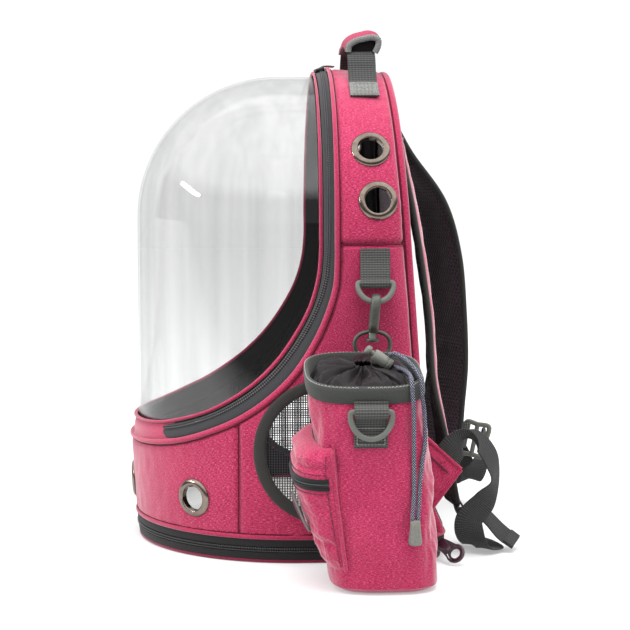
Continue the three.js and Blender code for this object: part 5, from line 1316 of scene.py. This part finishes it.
for tag, sign in (("a", 1), ("b", -1)):
    loop = np.array(PULL_LOOP) * (sign, 1, 1) + (sign * SLIDER_X, 0, 0)
    pull = rod(along_curve(loop, np.arange(48) / 48), (0, 0, 1), oval(0.7, 0.7, 8), loop=True, number=1)
    block = rounded_block((sign * SLIDER_X, SLIDER_Y, 425.2), (1, 0, 0), (0, 1, 0.25), (13, 9, 3.8))
    piece(f"door_slider_{tag}", [block, pull], [slider_black, slider_metal], "zip_black",
          f"door_zip_slider_{tag}", crease=60)
facing = np.array([1, -0.2, 0.35])
along = unit(PULL_TIP - PULL_ROOT)
facing = unit(facing - along * facing.dot(along))
breadth = np.cross(facing, along)
rim_arc = np.radians(np.linspace(-65, 65, 40))
neck = join(np.linspace(PULL_FOOT, PULL_NECK, 20), np.linspace(-PULL_ROOT_HALF, -PULL_NECK_HALF, 20))
eye_rim = EYE_RIM * join(np.cos(rim_arc), np.sin(rim_arc)) + (EYE_AT, 0)
foot = join(PULL_FOOT, np.linspace(PULL_ROOT_HALF, -PULL_ROOT_HALF, 10))
outline = np.concatenate([neck, eye_rim, (neck * (1, -1))[::-1], foot]) - (EYE_AT, 0)
turn = np.unwrap(np.arctan2(outline[:, 1], outline[:, 0]))
t = circle(96)
reach = np.interp(t, turn, np.linalg.norm(outline, axis=1), period=2 * np.pi)
radius = EYE_R + (reach[None] - EYE_R) * PULL_ROWS[:, :1] + PULL_ROWS[:, 1:2]
plate = (PULL_ROOT + along * EYE_AT + facing * 1.4 + (radius * np.cos(t))[..., None] * along
         + (radius * np.sin(t))[..., None] * breadth + PULL_ROWS[:, 2, None, None] * facing)
slider = rounded_block((139.7, 135.1, 12.8), (1, 1, 0), (-1, 1, 0), (6, 14, 9), number=1)
piece("base_zip_pull_moulded", [grid(plate, (True, True)), slider], [dark_gloss, slider_black], "plum",
      "base_zip_pull", crease=50)

# Stage: a pale floor, a lit backdrop, a bright ceiling and three soft lights.
# The camera stands at the photo's angle.
CAMERA_AT, CAMERA_LENS, CAMERA_DOWN, CAMERA_YAW = (1.7877, -0.0652, 0.3803), 111.22, 5.733, -3.266
FLOOR_SIZE, BACKDROP_SIZE, BACKDROP_X, SKY_STRENGTH = 24, 14, -4, 2.0
bpy.ops.mesh.primitive_plane_add(size=FLOOR_SIZE)
floor = bpy.context.object
floor.name = "floor"


def floor_paint(uv):
    """A white sweep round the object. It ends out of the picture, so the dome doesn't mirror it."""
    x = uv.axis(0) * FLOOR_SIZE - FLOOR_SIZE / 2
    off = x.between(0.7, 1.3)
    return {"Base Color": off.mix((0.48, 0.48, 0.48, 1), (0.08, 0.08, 0.08, 1)), "Roughness": 1.0,
            "Specular IOR Level": 0.0, "Emission Color": off.mix((1, 1, 1, 1), (0, 0, 0, 1)),
            "Emission Strength": 0.36}


floor.data.materials.append(material("floor", floor_paint))
world = bpy.data.worlds.new("studio")
bpy.context.scene.world = world
world.use_nodes = True
sky = Shade(world.node_tree, world.node_tree.nodes.new("ShaderNodeTexCoord").outputs["Generated"])
ceiling = sky.axis(2).between(0.28, 0.46).mix((0.14, 0.14, 0.14, 1), (1, 1, 1, 1))
world.node_tree.links.new(ceiling.socket, world.node_tree.nodes["Background"].inputs["Color"])
world.node_tree.nodes["Background"].inputs["Strength"].default_value = SKY_STRENGTH
bpy.ops.mesh.primitive_plane_add(size=BACKDROP_SIZE, location=(BACKDROP_X, 0, 0), rotation=(0, np.pi / 2, 0))
backdrop = bpy.context.object
backdrop.name = "backdrop"


def backdrop_paint(uv):
    """A lit white sheet behind the object."""
    return {"Base Color": (0, 0, 0, 1), "Roughness": 1.0, "Specular IOR Level": 0.0,
            "Emission Color": (1, 1, 1, 1), "Emission Strength": 1.05}


backdrop.data.materials.append(material("backdrop", backdrop_paint))


def softbox(name, at, aim, size, watts, mirrored_in_gloss=True, roll=0):
    """A rectangular area light, width by height, that faces a point, rolled by an angle in degrees."""
    lamp = bpy.data.lights.new(name, "AREA")
    lamp.shape, lamp.energy, lamp.size, lamp.size_y = "RECTANGLE", watts, *size
    holder = bpy.data.objects.new(name, lamp)
    bpy.context.scene.collection.objects.link(holder)
    holder.location = at
    facing = (Vector(aim) - Vector(at)).to_track_quat("-Z", "Y")
    holder.rotation_euler = (facing @ Quaternion((0, 0, 1), np.radians(roll))).to_euler()
    holder.visible_glossy = mirrored_in_gloss
    return holder


lamps = [softbox("key", (0.35, -2.0, 0.95), (0, 0, 0.2), (0.8, 0.09), 12, roll=-13),
         softbox("side", (1.6, -1.6, 0.9), (0, 0, 0.2), (0.9, 1.6), 3, False),
         softbox("top", (0.5, 0.1, 1.9), (0.1, 0.05, 0.3), (1.4, 1.4), 36, False)]
eye = bpy.data.cameras.new("photo_view")
eye.sensor_width, eye.lens = 36, CAMERA_LENS
camera = bpy.data.objects.new("photo_view", eye)
bpy.context.scene.collection.objects.link(camera)
camera.location = CAMERA_AT
camera.rotation_euler = np.radians((90 - CAMERA_DOWN, 0, 90 + CAMERA_YAW))
bpy.context.scene.camera = camera
bpy.context.scene.view_settings.view_transform = "Standard"
